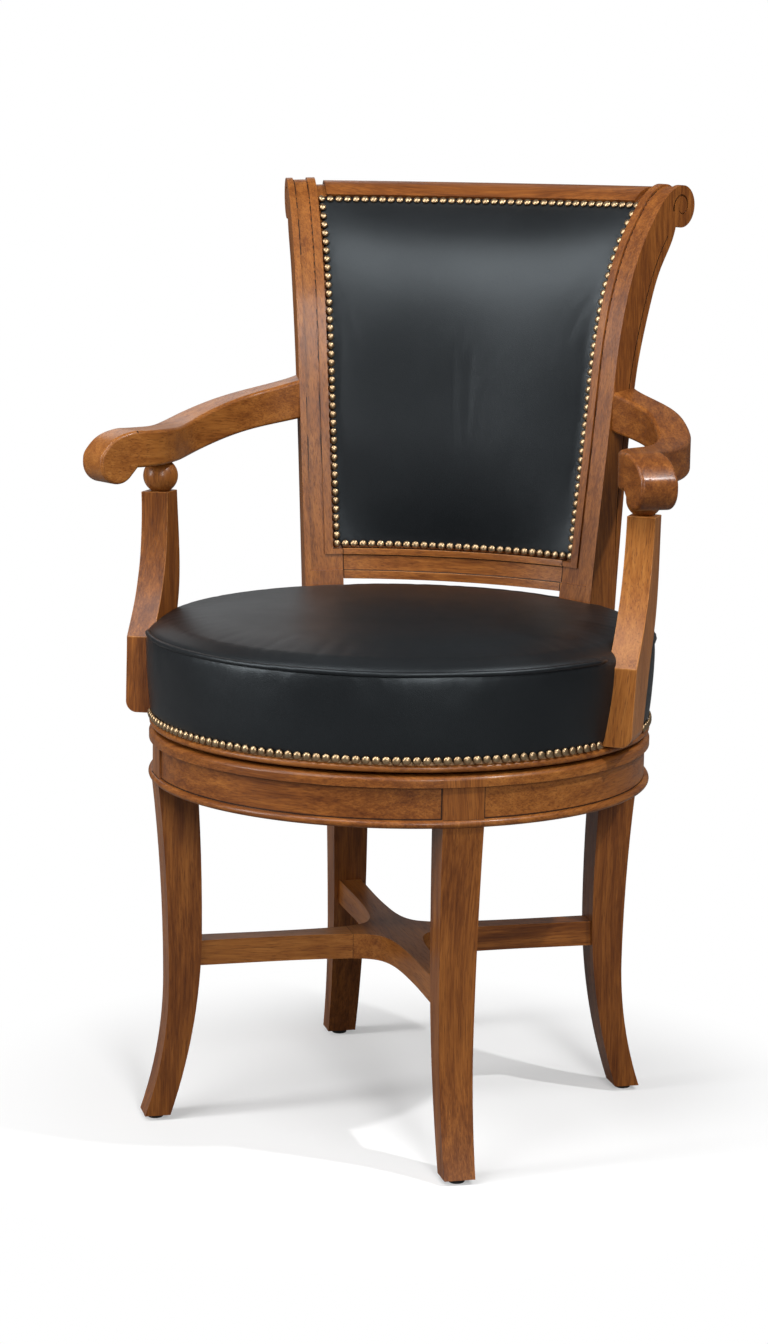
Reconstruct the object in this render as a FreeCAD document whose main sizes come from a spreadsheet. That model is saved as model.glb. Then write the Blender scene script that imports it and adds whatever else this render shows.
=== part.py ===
"""Round-seat swivel armchair with a scrolled leather back, as separate pieces.

Frame: millimetres, +Z up, origin on the floor under the swivel axis.
The seat's front faces -Y. The base stands turned under it, as in the photograph.
"""
import FreeCAD, Part
import math
import os
import Sketcher

Vector = FreeCAD.Vector
doc = FreeCAD.newDocument("dining_armchair")
sheet = doc.addObject("Spreadsheet::Sheet", "Sizes")

DRIVING = [
    # base: legs
    ("base_turn", -14, "degrees from the seat's own cross to the base's"),
    ("base_radius", 265, "outermost line of the apron bead; legs, deck, seat and arms follow it"),
    ("glide_height", 5.5, "black glide under each foot"),
    ("glide_radius", 8.5, ""),
    ("glide_edge", 1.5, "rounded foot of the glide"),
    ("leg_width", 42, "across the leg at the apron"),
    ("foot_width", 32, "across the leg at the floor"),
    ("leg_face_inset", 3.8, "outer face of the leg block inside the bead"),
    ("leg_waist_inset", 15.6, "outer edge where the leg is slimmest"),
    ("leg_waist_height", 150, ""),
    ("foot_flare", 9, "outer edge of the foot outside the bead"),
    ("leg_back_inset", 45, "inner edge at the apron"),
    ("leg_back_waist_inset", 50.5, ""),
    ("leg_back_waist_height", 205, ""),
    ("foot_back_inset", 18, ""),
    # base: apron
    ("apron_foot", 362.5, "underside of the apron bead"),
    ("bead_height", 8, ""),
    ("panel_inset", 5.7, "face of the recessed apron panels"),
    ("rail_inner_inset", 25, ""),
    ("cap_foot", 403.5, "underside of the cap moulding"),
    ("cap_face_height", 7, ""),
    ("cap_face_inset", 0.8, ""),
    ("cap_inset", 6, "set-back of the cap's top edge"),
    ("apron_top", 415, ""),
    # base: deck
    ("deck_foot", 385, "seat of the deck board on legs and rails"),
    ("deck_thickness", 20, ""),
    ("deck_inset", 17, "edge of the deck board inside the bead"),
    ("deck_eye_radius", 15, "hole for the rivet head"),
    # base: stretcher
    ("stretcher_top", 193.5, ""),
    ("stretcher_thickness", 27, ""),
    ("stretcher_end_half", 12.5, "half width at the legs"),
    ("stretcher_board_half", 51, "half width of the long board at the crossing"),
    # swivel bearing
    ("plate_side", 170, "square swivel plates"),
    ("plate_thickness", 3, ""),
    ("plate_corner", 12, ""),
    ("swivel_height", 20.5, ""),
    ("ball_radius", 4.5, ""),
    ("ball_circle", 62, ""),
    ("ball_count", 20, ""),
    ("race_half_width", 8, ""),
    ("race_gap", 3.3, "between the two raceways"),
    ("cage_thickness", 1.5, ""),
    ("cage_half_width", 6.8, ""),
    ("rivet_radius", 8, ""),
    ("rivet_head_radius", 13, ""),
    ("rivet_head_height", 3, ""),
    ("plate_screw_circle", 104, ""),
    # seat box
    ("seat_foot", 418.5, "underside of the seat moulding"),
    ("moulding_height", 7, ""),
    ("moulding_inset", 0.9, "outermost line of the moulding"),
    ("moulding_width", 28.1, ""),
    ("board_inset", 5, "edge of seat board and hoop"),
    ("board_thickness", 18, ""),
    ("board_eye_radius", 17, "clears the rivet head"),
    ("hoop_width", 55, ""),
    ("hoop_height", 54.5, ""),
    # seat cushion
    ("border_foot_inset", 2.4, "leather at the nails"),
    ("border_swell", 4.8, "leather at its fullest over the nails"),
    ("border_height", 91, "leather from the moulding to the welt"),
    ("crown_height", 21.5, "top of the cushion over the welt"),
    ("leather", 1.8, "thickness of the covers"),
    ("welt_radius", 2.9, ""),
    # nails
    ("nail_radius", 4.4, ""),
    ("nail_height", 3, ""),
    ("nail_pitch", 9.95, ""),
    ("nail_line", 5, "nails above the moulding"),
    # back
    ("back_inset", 52, "front of the back inside the bead, on the middle plane"),
    ("back_radius", 354, "the back's plan curve, at the posts' front and the reference height"),
    ("post_spread", 145.68, "middle of each post's front from the middle plane"),
    ("post_splay", 1.8, "degrees outward"),
    ("post_reference", 560, "height at which the splay starts"),
    ("post_width", 43, ""),
    ("post_foot", 444, ""),
    ("scroll_radius", 23, ""),
    ("scroll_height", 958.5, "height of the scroll's centre"),
    ("scroll_reach", 127, "set-back of the scroll's centre"),
    ("post_foot_depth", 48, ""),
    ("post_bead", 7, "width of the outer bead"),
    ("post_flat", 16, "width of the flat between the beads"),
    ("inner_bead", 9, "width of the bead beside the leather"),
    ("flat_recess", 2.2, "flat behind the beads"),
    ("leather_recess", 7, "seat of the leather behind the beads"),
    ("leather_bed", 1.2, "posts cut this much deeper under the leather"),
    ("side_line_inset", 9, "line along the post's rear edge"),
    ("side_line_width", 1.4, ""),
    ("side_line_depth", 1, ""),
    ("volute_cut", 2, "depth of the carved spiral"),
    ("rail_depth", 28, "crest and bottom rail"),
    ("bottom_rail_foot", 539, ""),
    ("bottom_rail_height", 62, ""),
    ("rail_bead", 9, "bead along the bottom rail's lower edge"),
    ("rail_flat", 18, "flat over that bead"),
    ("rail_strip", 7, "bead under the leather"),
    ("crest_drop", 33.5, "underside of the crest below the scroll's centre"),
    ("crest_rise", 21, "top of the crest over the scroll's centre"),
    ("crest_inset", 3, "crest behind and below the posts' beads"),
    ("back_board_thickness", 8, ""),
    ("back_crown", 20, "padding of the back at its fullest"),
    ("outside_board_thickness", 4, ""),
    # arms
    ("arm_depth", 38, "width of the arm at the back post"),
    ("scroll_hand_width", 40, ""),
    ("hand_radius", 21, "rolled end of the arm"),
    ("hand_height", 690.8, "centre of the rolled end"),
    ("hand_reach", 24, "straight part of the hand"),
    ("hand_turn", 36.5, "degrees outward"),
    ("arm_edge", 4, "rounded edges"),
    ("arm_ball_radius", 18.5, ""),
    ("arm_ball_inset", 3, "centre of the ball inside the bead"),
    ("arm_ball_y", -23, ""),
    ("arm_underside", 686, "underside of the arm over the ball"),
    ("arm_post_top", 654.5, ""),
    ("arm_post_foot", 427.5, ""),
    ("arm_post_width", 29.5, ""),
    ("arm_post_inset", 5, "middle of the arm post inside the bead, at mid height"),
    ("arm_post_lean", 1.45, "degrees outward"),
    ("arm_post_kink", 507, "height of the edge across the front"),
    ("arm_post_corner", 12, "rounded lower outer corner"),
    # fastenings
    ("dowel_radius", 5, ""),
    ("dowel_length", 44, ""),
    ("screw_radius", 2, ""),
    ("screw_head_radius", 4, ""),
    ("screw_head_height", 2.6, ""),
    ("screw_length", 30, ""),
    ("bolt_radius", 4, ""),
    ("bolt_head_radius", 7, ""),
    ("bolt_head_height", 5, ""),
    ("bolt_length", 58, ""),
    # clearances
    ("fit", 0.1, "between glued or bolted pieces in a hole"),
    ("running", 0.08, "pivot in the turning plate"),
    ("soft_gap", 0.3, "between leather or foam and wood"),
    ("overrun", 5, "cuts run past the piece by this much"),
]

for row, (alias, value, meaning) in enumerate(DRIVING, start=1):
    sheet.set(f"A{row}", str(value))
    sheet.setAlias(f"A{row}", alias)
    sheet.set(f"B{row}", meaning)
doc.recompute()


class Size:
    """A number of the sheet, or a sum of such numbers, with the formula that gives it."""

    def __init__(self, value, text):
        self.value = float(value)
        self.text = text

    def __float__(self):
        return self.value

    def joined(self, other, sign, value, flip=False):
        text = other.text if isinstance(other, Size) else repr(other)
        pair = (text, self.text) if flip else (self.text, text)
        return Size(value, f"({pair[0]} {sign} {pair[1]})")

    def __add__(self, other):
        return self.joined(other, "+", self.value + float(other))

    def __radd__(self, other):
        return self.joined(other, "+", self.value + float(other), flip=True)

    def __sub__(self, other):
        return self.joined(other, "-", self.value - float(other))

    def __rsub__(self, other):
        return self.joined(other, "-", float(other) - self.value, flip=True)

    def __mul__(self, other):
        return self.joined(other, "*", self.value * float(other))

    def __rmul__(self, other):
        return self.joined(other, "*", self.value * float(other), flip=True)

    def __truediv__(self, other):
        return self.joined(other, "/", self.value / float(other))

    def __neg__(self):
        return self.joined(-1, "*", -self.value)


class Sheet:
    """The spreadsheet's cells as Size values."""

    def __getattr__(self, alias):
        return Size(sheet.get(alias), f"Sizes.{alias}")


S = Sheet()
nodes = []

# radii and places that follow the base's own radius

leg_face_radius = S.base_radius - S.leg_face_inset
leg_waist_radius = S.base_radius - S.leg_waist_inset
foot_outer_radius = S.base_radius + S.foot_flare
leg_back_radius = S.base_radius - S.leg_back_inset
leg_back_waist_radius = S.base_radius - S.leg_back_waist_inset
foot_back_radius = S.base_radius - S.foot_back_inset
panel_radius = S.base_radius - S.panel_inset
rail_inner_radius = S.base_radius - S.rail_inner_inset
cap_radius = S.base_radius - S.cap_face_inset
deck_radius = S.base_radius - S.deck_inset
moulding_radius = S.base_radius - S.moulding_inset
moulding_inner_radius = moulding_radius - S.moulding_width
board_radius = S.base_radius - S.board_inset
hoop_inner_radius = board_radius - S.hoop_width
border_foot_radius = S.base_radius - S.border_foot_inset
arm_ball_x = S.base_radius - S.arm_ball_inset
arm_post_centre = S.base_radius - S.arm_post_inset
crest_foot = S.scroll_height - S.crest_drop
crest_top = S.scroll_height + S.crest_rise
back_centre = S.back_radius - S.base_radius + S.back_inset
post_angle = math.degrees(math.asin(float(S.post_spread) / float(S.back_radius)))


def keep(label, source):
    """Give a finished piece its label and put it on the list of pieces to write."""
    source.Label = label
    nodes.append(source)
    return source


def piece(label, shape, placement=None):
    """A piece whose shape is built from Part's own functions."""
    item = doc.addObject("Part::Feature", label)
    item.Shape = shape
    if placement is not None:
        item.Placement = placement
    return keep(label, item)


def drilled(label, body, holes):
    """A turned body with holes cut through it, both kept in the document."""
    tool = doc.addObject("Part::Feature", label + "_holes")
    tool.Shape = holes[0].fuse(holes[1:])
    body.Label = label + "_blank"
    cut = doc.addObject("Part::Cut", label)
    cut.Base = body
    cut.Tool = tool
    doc.recompute()
    return keep(label, cut)


def number(*sizes):
    return [float(size) for size in sizes]


def point(x, y, z):
    return Vector(*number(x, y, z))


def box(low, high):
    low = Vector(*number(*low))
    high = Vector(*number(*high))
    span = high - low
    return Part.makeBox(span.x, span.y, span.z, low)


def cylinder(radius, length, start, direction=Vector(0, 0, 1)):
    return Part.makeCylinder(float(radius), float(length), start, direction)


def turned(shape, degrees, centre=Vector(0, 0, 0), axis=Vector(0, 0, 1)):
    copy = shape.copy()
    copy.rotate(centre, axis, float(degrees))
    return copy


def mirrored(shape):
    return shape.mirror(Vector(0, 0, 0), Vector(1, 0, 0))


def spline(points, start=None, end=None):
    curve = Part.BSplineCurve()
    if start is None:
        curve.interpolate(points)
    else:
        curve.interpolate(points, InitialTangent=start, FinalTangent=end)
    return curve.toShape()


def filled(edges):
    """The flat face inside a closed chain of edges."""
    return Part.Face(Part.Wire(Part.__sortEdges__(edges)))


def one_solid(shape):
    solids = sorted(shape.Solids, key=lambda solid: solid.Volume)
    return solids[-1]


# sketches bound to the sheet

def origin_plane(body, role):
    return [item for item in body.Origin.OriginFeatures if item.Role == role][0]


def outline(body, name, role, vertices):
    """A closed sketch. Each vertex is (x, y) or (x, y, radius, side) for an arc to the next one."""
    sketch = body.newObject("Sketcher::SketchObject", name)
    sketch.AttachmentSupport = [(origin_plane(body, role), "")]
    sketch.MapMode = "FlatFace"
    count = len(vertices)
    edges = []
    for index, vertex in enumerate(vertices):
        following = vertices[(index + 1) % count]
        start = Vector(float(vertex[0]), float(vertex[1]), 0)
        end = Vector(float(following[0]), float(following[1]), 0)
        if len(vertex) == 2:
            edges.append(sketch.addGeometry(Part.LineSegment(start, end)))
            continue
        radius, side = float(vertex[2]), vertex[3]
        middle = (start + end) / 2
        chord = end - start
        away = Vector(chord.y, -chord.x, 0).normalize() * side
        depth = math.sqrt(max(radius ** 2 - (chord.Length / 2) ** 2, 0))
        crest = middle - away * depth + away * radius
        edges.append(sketch.addGeometry(Part.Arc(start, crest, end)))
    for index, vertex in enumerate(vertices):
        edge = edges[index]
        before = edges[index - 1]
        start_of = sketch.Geometry[edge]
        flipped = len(vertex) > 2 and start_of.StartPoint.distanceToPoint(
            Vector(float(vertex[0]), float(vertex[1]), 0)) > start_of.EndPoint.distanceToPoint(
            Vector(float(vertex[0]), float(vertex[1]), 0))
        first = 2 if flipped else 1
        earlier = vertices[index - 1]
        earlier_geometry = sketch.Geometry[before]
        here = Vector(float(vertex[0]), float(vertex[1]), 0)
        last = 2
        if len(earlier) > 2 and earlier_geometry.StartPoint.distanceToPoint(here) < \
                earlier_geometry.EndPoint.distanceToPoint(here):
            last = 1
        sketch.addConstraint(Sketcher.Constraint("Coincident", before, last, edge, first))
        for axis, size in zip(("DistanceX", "DistanceY"), vertex[:2]):
            held = sketch.addConstraint(Sketcher.Constraint(axis, -1, 1, edge, first, float(size)))
            if isinstance(size, Size):
                sketch.setExpression(f"Constraints[{held}]", size.text)
        if len(vertex) > 2:
            held = sketch.addConstraint(Sketcher.Constraint("Radius", edge, float(vertex[2])))
            sketch.setExpression(f"Constraints[{held}]", vertex[2].text)
    doc.recompute()
    return sketch


def turned_body(name, vertices):
    """A body turned about the vertical axis from a half outline (radius, height)."""
    body = doc.addObject("PartDesign::Body", name)
    sketch = outline(body, name + "_outline", "XZ_Plane", vertices)
    turn = body.newObject("PartDesign::Revolution", name + "_turn")
    turn.Profile = sketch
    turn.ReferenceAxis = (sketch, ["V_Axis"])
    turn.Angle = 360
    doc.recompute()
    return body


def bored(body, name, radius, circle, count, start_angle=0, deep=None):
    """Cut a ring of equal round holes through a body, or one in its middle when circle is None."""
    sketch = body.newObject("Sketcher::SketchObject", name + "_sketch")
    sketch.AttachmentSupport = [(origin_plane(body, "XY_Plane"), "")]
    sketch.MapMode = "FlatFace"
    reach = 0.0 if circle is None else float(circle)
    heading = math.radians(float(start_angle))
    centre = Vector(reach * math.cos(heading), reach * math.sin(heading), 0)
    ring = sketch.addGeometry(Part.Circle(centre, Vector(0, 0, 1), float(radius)))
    held = sketch.addConstraint(Sketcher.Constraint("Radius", ring, float(radius)))
    sketch.setExpression(f"Constraints[{held}]", radius.text)
    if circle is None:
        sketch.addConstraint(Sketcher.Constraint("Coincident", ring, 3, -1, 1))
    else:
        for axis, share, value in (("DistanceX", math.cos(heading), centre.x),
                                   ("DistanceY", math.sin(heading), centre.y)):
            held = sketch.addConstraint(Sketcher.Constraint(axis, -1, 1, ring, 3, value))
            sketch.setExpression(f"Constraints[{held}]", (circle * share).text)
    pocket = body.newObject("PartDesign::Pocket", name)
    pocket.Profile = sketch
    pocket.Type = "ThroughAll"
    pocket.Midplane = True
    doc.recompute()
    if circle is not None and count > 1:
        ring_of = body.newObject("PartDesign::PolarPattern", name + "_ring")
        ring_of.Originals = [pocket]
        ring_of.Axis = (origin_axis(body), [""])
        ring_of.Angle = 360
        ring_of.Occurrences = count
        body.Tip = ring_of
        doc.recompute()
    return body


def origin_axis(body):
    return [item for item in body.Origin.OriginFeatures if item.Role == "Z_Axis"][0]


# fastenings

def screw(start, direction, length=None):
    """A wood screw whose head starts at the given point and whose shank runs along direction."""
    length = S.screw_length if length is None else length
    head = Part.makeCone(float(S.screw_head_radius), float(S.screw_radius), float(S.screw_head_height),
                         start, direction)
    return head.fuse(cylinder(S.screw_radius, length, start, direction)).removeSplitter()


def screw_hole(start, direction, length=None):
    length = S.screw_length if length is None else length
    direction = Vector(direction).normalize()
    head = Part.makeCone(float(S.screw_head_radius + S.fit), float(S.screw_radius + S.fit),
                         float(S.screw_head_height + S.fit), start, direction)
    shank = cylinder(S.screw_radius + S.fit, length + S.fit, start, direction)
    above = cylinder(S.screw_head_radius + S.fit, S.overrun, start - direction * float(S.overrun), direction)
    return head.fuse([shank, above])


def dowel(middle, direction, length=None, extra=0.0):
    """A straight pin, or its hole when extra widens it, centred on the given point."""
    length = float(S.dowel_length if length is None else length) + 2 * extra
    direction = Vector(direction).normalize()
    return cylinder(float(S.dowel_radius) + extra, length, middle - direction * (length / 2), direction)


def bolt(start, direction, length=None):
    """A bolt from the underside of its hexagon head at the given point."""
    length = S.bolt_length if length is None else length
    direction = Vector(direction).normalize()
    flat = Part.makePolygon([Vector(float(S.bolt_head_radius) * math.cos(math.radians(60 * k)),
                                    float(S.bolt_head_radius) * math.sin(math.radians(60 * k)), 0)
                             for k in range(7)])
    head = Part.Face(flat).extrude(Vector(0, 0, -float(S.bolt_head_height)))
    solid = head.fuse(cylinder(S.bolt_radius, length, Vector(0, 0, 0)))
    solid.Placement = FreeCAD.Placement(start, FreeCAD.Rotation(Vector(0, 0, 1), direction))
    return solid


def bolt_hole(start, direction, length=None):
    length = S.bolt_length if length is None else length
    direction = Vector(direction).normalize()
    shank = cylinder(S.bolt_radius + S.fit, length + S.fit, start, direction)
    deep = float(S.bolt_head_height + S.overrun * 2)
    return shank.fuse(cylinder(S.bolt_head_radius + S.fit, deep, start - direction * deep, direction))


# base: legs, apron, deck and stretcher, built with the first leg along +X

leg_names = ["leg_front_right", "leg_rear_right", "leg_rear_left", "leg_front_left"]
rail_names = ["apron_rail_right", "apron_rail_rear", "apron_rail_left", "apron_rail_front"]
quarter = 360 / len(leg_names)
leg_angles = [float(S.base_turn) - quarter / 2 + quarter * k for k in range(len(leg_names))]


def base_place(angle):
    return FreeCAD.Placement(Vector(0, 0, 0), FreeCAD.Rotation(Vector(0, 0, 1), angle))


def ring_outline(face_radius, inner_radius):
    """Half outline of the apron: bead, face, cap moulding and the seat for the deck board."""
    bead_root = S.base_radius - S.bead_height / 2
    return [
        (inner_radius, S.apron_foot),
        (bead_root, S.apron_foot, S.bead_height * bead_bow_share, 1),
        (bead_root, S.apron_foot + S.bead_height),
        (face_radius, S.apron_foot + S.bead_height),
        (face_radius, S.cap_foot),
        (cap_radius, S.cap_foot),
        (cap_radius, S.cap_foot + S.cap_face_height, S.cap_inset * cap_bow_share, 1),
        (cap_radius - S.cap_inset, S.apron_top),
        (deck_radius + S.soft_gap, S.apron_top),
        (deck_radius + S.soft_gap, S.deck_foot),
        (inner_radius, S.deck_foot),
    ]


bead_bow_share = 0.501
cap_bow_share = 1.1


def leg_edge(top, waist, waist_height, foot):
    """One long edge of the leg: two arcs that meet upright at its waist."""
    arcs = []
    for end_radius, end_height in ((top, S.apron_foot), (foot, S.glide_height)):
        rise = float(end_height) - float(waist_height)
        reach = float(end_radius) - float(waist)
        bow = (rise ** 2 + reach ** 2) / (2 * reach)
        half = math.asin(rise / bow) / 2
        start = point(waist, 0, waist_height)
        middle = start + Vector(bow * (1 - math.cos(half)), 0, bow * math.sin(half))
        arcs.append(Part.Arc(start, middle, point(end_radius, 0, end_height)).toShape())
    return arcs


def leg_shape():
    outer = leg_edge(leg_face_radius, leg_waist_radius, S.leg_waist_height, foot_outer_radius)
    inner = leg_edge(leg_back_radius, leg_back_waist_radius, S.leg_back_waist_height, foot_back_radius)
    top = Part.LineSegment(point(leg_face_radius, 0, S.apron_foot), point(leg_back_radius, 0, S.apron_foot))
    foot = Part.LineSegment(point(foot_outer_radius, 0, S.glide_height),
                            point(foot_back_radius, 0, S.glide_height))
    side = filled(outer + inner + [top.toShape(), foot.toShape()])
    side.translate(point(0, -S.leg_width / 2, 0))
    shaft = side.extrude(point(0, S.leg_width, 0))
    corners = [(-S.leg_width / 2, S.apron_foot), (S.leg_width / 2, S.apron_foot),
               (S.foot_width / 2, S.glide_height), (-S.foot_width / 2, S.glide_height)]
    front = Part.makePolygon([point(0, y, z) for y, z in corners + corners[:1]])
    shaft = shaft.common(Part.Face(front).extrude(point(foot_outer_radius + S.overrun, 0, 0)))
    block = turned_body("leg_block", ring_outline(leg_face_radius, leg_back_radius))
    block_shape = block.Shape.copy()
    slab = box((0, -S.leg_width / 2, S.apron_foot), (S.base_radius, S.leg_width / 2, S.apron_top))
    head = block_shape.common(slab)
    doc.removeObject(block.Name)
    return one_solid(shaft.fuse(head).removeSplitter())


def dowel_spots():
    """Dowels between rail ends and leg blocks: (point, direction) for a leg along +X."""
    height = S.apron_foot + (S.deck_foot - S.apron_foot) / 2 + S.dowel_radius / 5
    radius = (rail_inner_radius + panel_radius) / 2 - S.fit * 25
    return [(point(radius, S.leg_width / 2 * side, height), Vector(0, 1, 0)) for side in (-1, 1)]


rail_dowel_length = S.leg_width * 0.72
deck_screw_radius = (leg_back_radius + deck_radius) / 2


def deck_screw_spots():
    height = S.deck_foot + S.deck_thickness
    return [point(deck_screw_radius, S.leg_width / 4 * side, height) for side in (-1, 1)]


down = Vector(0, 0, -1)
up = Vector(0, 0, 1)
deck_screw_length = S.deck_thickness * 2.2

leg = leg_shape()
stretcher_height = S.stretcher_top - S.stretcher_thickness / 2
stretcher_dowel_middle = point(leg_back_waist_radius, 0, stretcher_height)
leg_holes = [dowel(spot, way, rail_dowel_length, float(S.fit)) for spot, way in dowel_spots()]
leg_holes += [screw_hole(spot, down, deck_screw_length) for spot in deck_screw_spots()]
leg_holes.append(dowel(stretcher_dowel_middle, Vector(1, 0, 0), None, float(S.fit)))
leg = one_solid(leg.cut(Part.makeCompound(leg_holes)))
for label, angle in zip(leg_names, leg_angles):
    piece(label, leg, base_place(angle))

rail_ring = turned_body("apron_ring", ring_outline(panel_radius, rail_inner_radius))
ring_shape = rail_ring.Shape.copy()
doc.removeObject(rail_ring.Name)
past = S.base_radius + S.overrun
sector = box((0, 0, 0), (past, past, S.apron_top + S.overrun))
leg_slab = box((0, -S.leg_width / 2, 0), (past, S.leg_width / 2, S.apron_top + S.overrun))
rail = ring_shape.common(sector).cut(leg_slab).cut(turned(leg_slab, quarter))
rail_holes = [dowel(spot, way, rail_dowel_length, float(S.fit)) for spot, way in dowel_spots()]
rail = one_solid(rail.cut(Part.makeCompound(rail_holes + [turned(hole, quarter) for hole in rail_holes])))
for label, angle in zip(rail_names, leg_angles):
    piece(label, rail, base_place(angle))

rail_dowels = [turned(dowel(spot, way, rail_dowel_length), angle)
               for angle in leg_angles for spot, way in dowel_spots()]
piece("apron_dowels", Part.makeCompound(rail_dowels))

deck = turned_body("deck_blank", [
    (S.deck_eye_radius, S.deck_foot), (deck_radius, S.deck_foot),
    (deck_radius, S.deck_foot + S.deck_thickness), (S.deck_eye_radius, S.deck_foot + S.deck_thickness)])
plate_screw_angle = 45
deck_top = S.deck_foot + S.deck_thickness
swivel_top = deck_top + S.swivel_height


def plate_screw_spots(height):
    first = point(S.plate_screw_circle, 0, height)
    turn = FreeCAD.Rotation(Vector(0, 0, 1), plate_screw_angle)
    quarter_turn = FreeCAD.Rotation(Vector(0, 0, 1), 90)
    spots = [turn.multVec(first)]
    for _ in range(3):
        spots.append(quarter_turn.multVec(spots[-1]))
    return spots


plate_screw_length = S.deck_thickness * 0.8
deck_holes = [turned(screw_hole(spot, down, deck_screw_length), angle)
              for angle in leg_angles for spot in deck_screw_spots()]
deck_holes += [turned(cylinder(S.screw_radius + S.fit, plate_screw_length, spot, down), float(S.base_turn))
               for spot in plate_screw_spots(deck_top)]
drilled("deck_board", deck, deck_holes)
piece("deck_screws", Part.makeCompound([turned(screw(spot, down, deck_screw_length), angle)
                                        for angle in leg_angles for spot in deck_screw_spots()]))

glide_radius_middle = (foot_outer_radius + foot_back_radius) / 2


def glide():
    foot = cylinder(S.glide_radius, S.glide_height, point(glide_radius_middle, 0, 0))
    rim = [edge for edge in foot.Edges if edge.BoundBox.ZMax < float(S.glide_height) / 2]
    return foot.makeFillet(float(S.glide_edge), rim)


piece("foot_glides", Part.makeCompound([turned(glide(), angle) for angle in leg_angles]))

# half width of a stretcher arm over its distance from the middle, up to the hollow between two arms
stretcher_edge_shares = [(1.0, 1.0), (0.6, 0.93), (0.4, 1.02), (0.26, 1.24), (0.175, 1.64)]
stretcher_hollow_share = 0.125


def stretcher_star():
    reach = float(leg_back_radius)
    half = float(S.stretcher_end_half)
    along = [(reach * far, half * wide) for far, wide in stretcher_edge_shares]
    hollow = reach * stretcher_hollow_share
    path = [Vector(x, y, 0) for x, y in along] + [Vector(hollow, hollow, 0)] + \
        [Vector(y, x, 0) for x, y in reversed(along)]
    edges = []
    for k in range(4):
        turn = FreeCAD.Rotation(Vector(0, 0, 1), 90 * k)
        edges.append(spline([turn.multVec(spot) for spot in path]))
        end = turn.multVec(Vector(half, reach, 0))
        other = turn.multVec(Vector(-half, reach, 0))
        edges.append(Part.LineSegment(end, other).toShape())
    face = filled(edges)
    face.translate(point(0, 0, S.stretcher_top - S.stretcher_thickness))
    return face.extrude(point(0, 0, S.stretcher_thickness))


star = stretcher_star()
legs_at_cross = Part.makeCompound([turned(leg, 90 * k) for k in range(4)])
star = one_solid(star.cut(legs_at_cross))
wide_box = float(leg_back_radius + S.overrun)
middle_box = box((-wide_box, -S.stretcher_board_half, 0),
                 (wide_box, S.stretcher_board_half, S.stretcher_top))
cross_dowels = [turned(dowel(stretcher_dowel_middle, Vector(1, 0, 0)), 90 * k) for k in range(4)]
cross_holes = [turned(dowel(stretcher_dowel_middle, Vector(1, 0, 0), None, float(S.fit)), 90 * k)
               for k in range(4)]
for side in (-1, 1):
    for across in (-1, 1):
        spot = point(S.stretcher_end_half / 2 * across, S.stretcher_board_half * side, stretcher_height)
        cross_dowels.append(dowel(spot, Vector(0, 1, 0)))
        cross_holes.append(dowel(spot, Vector(0, 1, 0), None, float(S.fit)))
star = star.cut(Part.makeCompound(cross_holes))
cross_place = base_place(leg_angles[0])
piece("stretcher_long", one_solid(star.common(middle_box)), cross_place)
outside = star.cut(middle_box)
arms_of_star = sorted(outside.Solids, key=lambda solid: solid.CenterOfMass.y)
piece("stretcher_arm_left", arms_of_star[0], cross_place)
piece("stretcher_arm_right", arms_of_star[-1], cross_place)
piece("stretcher_dowels", Part.makeCompound(cross_dowels), cross_place)

# swivel bearing

ball_height = deck_top + S.swivel_height / 2
groove_radius = S.ball_radius + S.fit


def swivel_plate(foot, race_foot, race_top, eye_radius):
    """A square plate with a raised raceway: foot is the plate's underside."""
    side = float(S.plate_side)
    plate = Part.makeBox(side, side, float(S.plate_thickness), Vector(-side / 2, -side / 2, float(foot)))
    corners = [edge for edge in plate.Edges if abs(edge.tangentAt(edge.FirstParameter).z) > 0.9]
    plate = plate.makeFillet(float(S.plate_corner), corners)
    tall = race_top - race_foot
    race = cylinder(S.ball_circle + S.race_half_width, tall, point(0, 0, race_foot))
    race = race.cut(cylinder(S.ball_circle - S.race_half_width, tall, point(0, 0, race_foot)))
    groove = Part.makeTorus(float(S.ball_circle), float(groove_radius), point(0, 0, ball_height))
    holes = [cylinder(eye_radius, S.plate_thickness + S.overrun, point(0, 0, foot - S.overrun / 2))]
    holes += [cylinder(S.screw_radius + S.fit, S.plate_thickness + S.overrun, spot)
              for spot in plate_screw_spots(foot - S.overrun / 2)]
    return one_solid(plate.fuse(race).cut(groove).cut(Part.makeCompound(holes)))


lower_plate = swivel_plate(deck_top, deck_top + S.plate_thickness / 2, ball_height - S.race_gap / 2,
                           S.rivet_radius + S.fit)
upper_plate = swivel_plate(swivel_top - S.plate_thickness, ball_height + S.race_gap / 2,
                           swivel_top - S.plate_thickness / 2, S.rivet_radius + S.running)
piece("swivel_lower_plate", lower_plate, base_place(float(S.base_turn)))


def pan_screw(spot, direction, length):
    head = cylinder(S.screw_head_radius, S.screw_head_height, spot - direction * float(S.screw_head_height),
                    direction)
    return head.fuse(cylinder(S.screw_radius, length, spot, direction)).removeSplitter()


lower_screws = [pan_screw(spot, down, plate_screw_length)
                for spot in plate_screw_spots(deck_top + S.plate_thickness)]
piece("swivel_lower_screws", Part.makeCompound(lower_screws), base_place(float(S.base_turn)))

rivet = cylinder(S.rivet_radius, S.swivel_height + S.running + S.rivet_head_height * 2,
                 point(0, 0, deck_top - S.rivet_head_height))
rivet = rivet.fuse([cylinder(S.rivet_head_radius, S.rivet_head_height, point(0, 0, head_foot))
                    for head_foot in (deck_top - S.rivet_head_height, swivel_top + S.running)])
piece("pivot_rivet", one_solid(rivet.removeSplitter()))


def ball_spots():
    count = int(float(S.ball_count))
    return [Vector(float(S.ball_circle) * math.cos(2 * math.pi * k / count),
                   float(S.ball_circle) * math.sin(2 * math.pi * k / count), float(ball_height))
            for k in range(count)]


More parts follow.
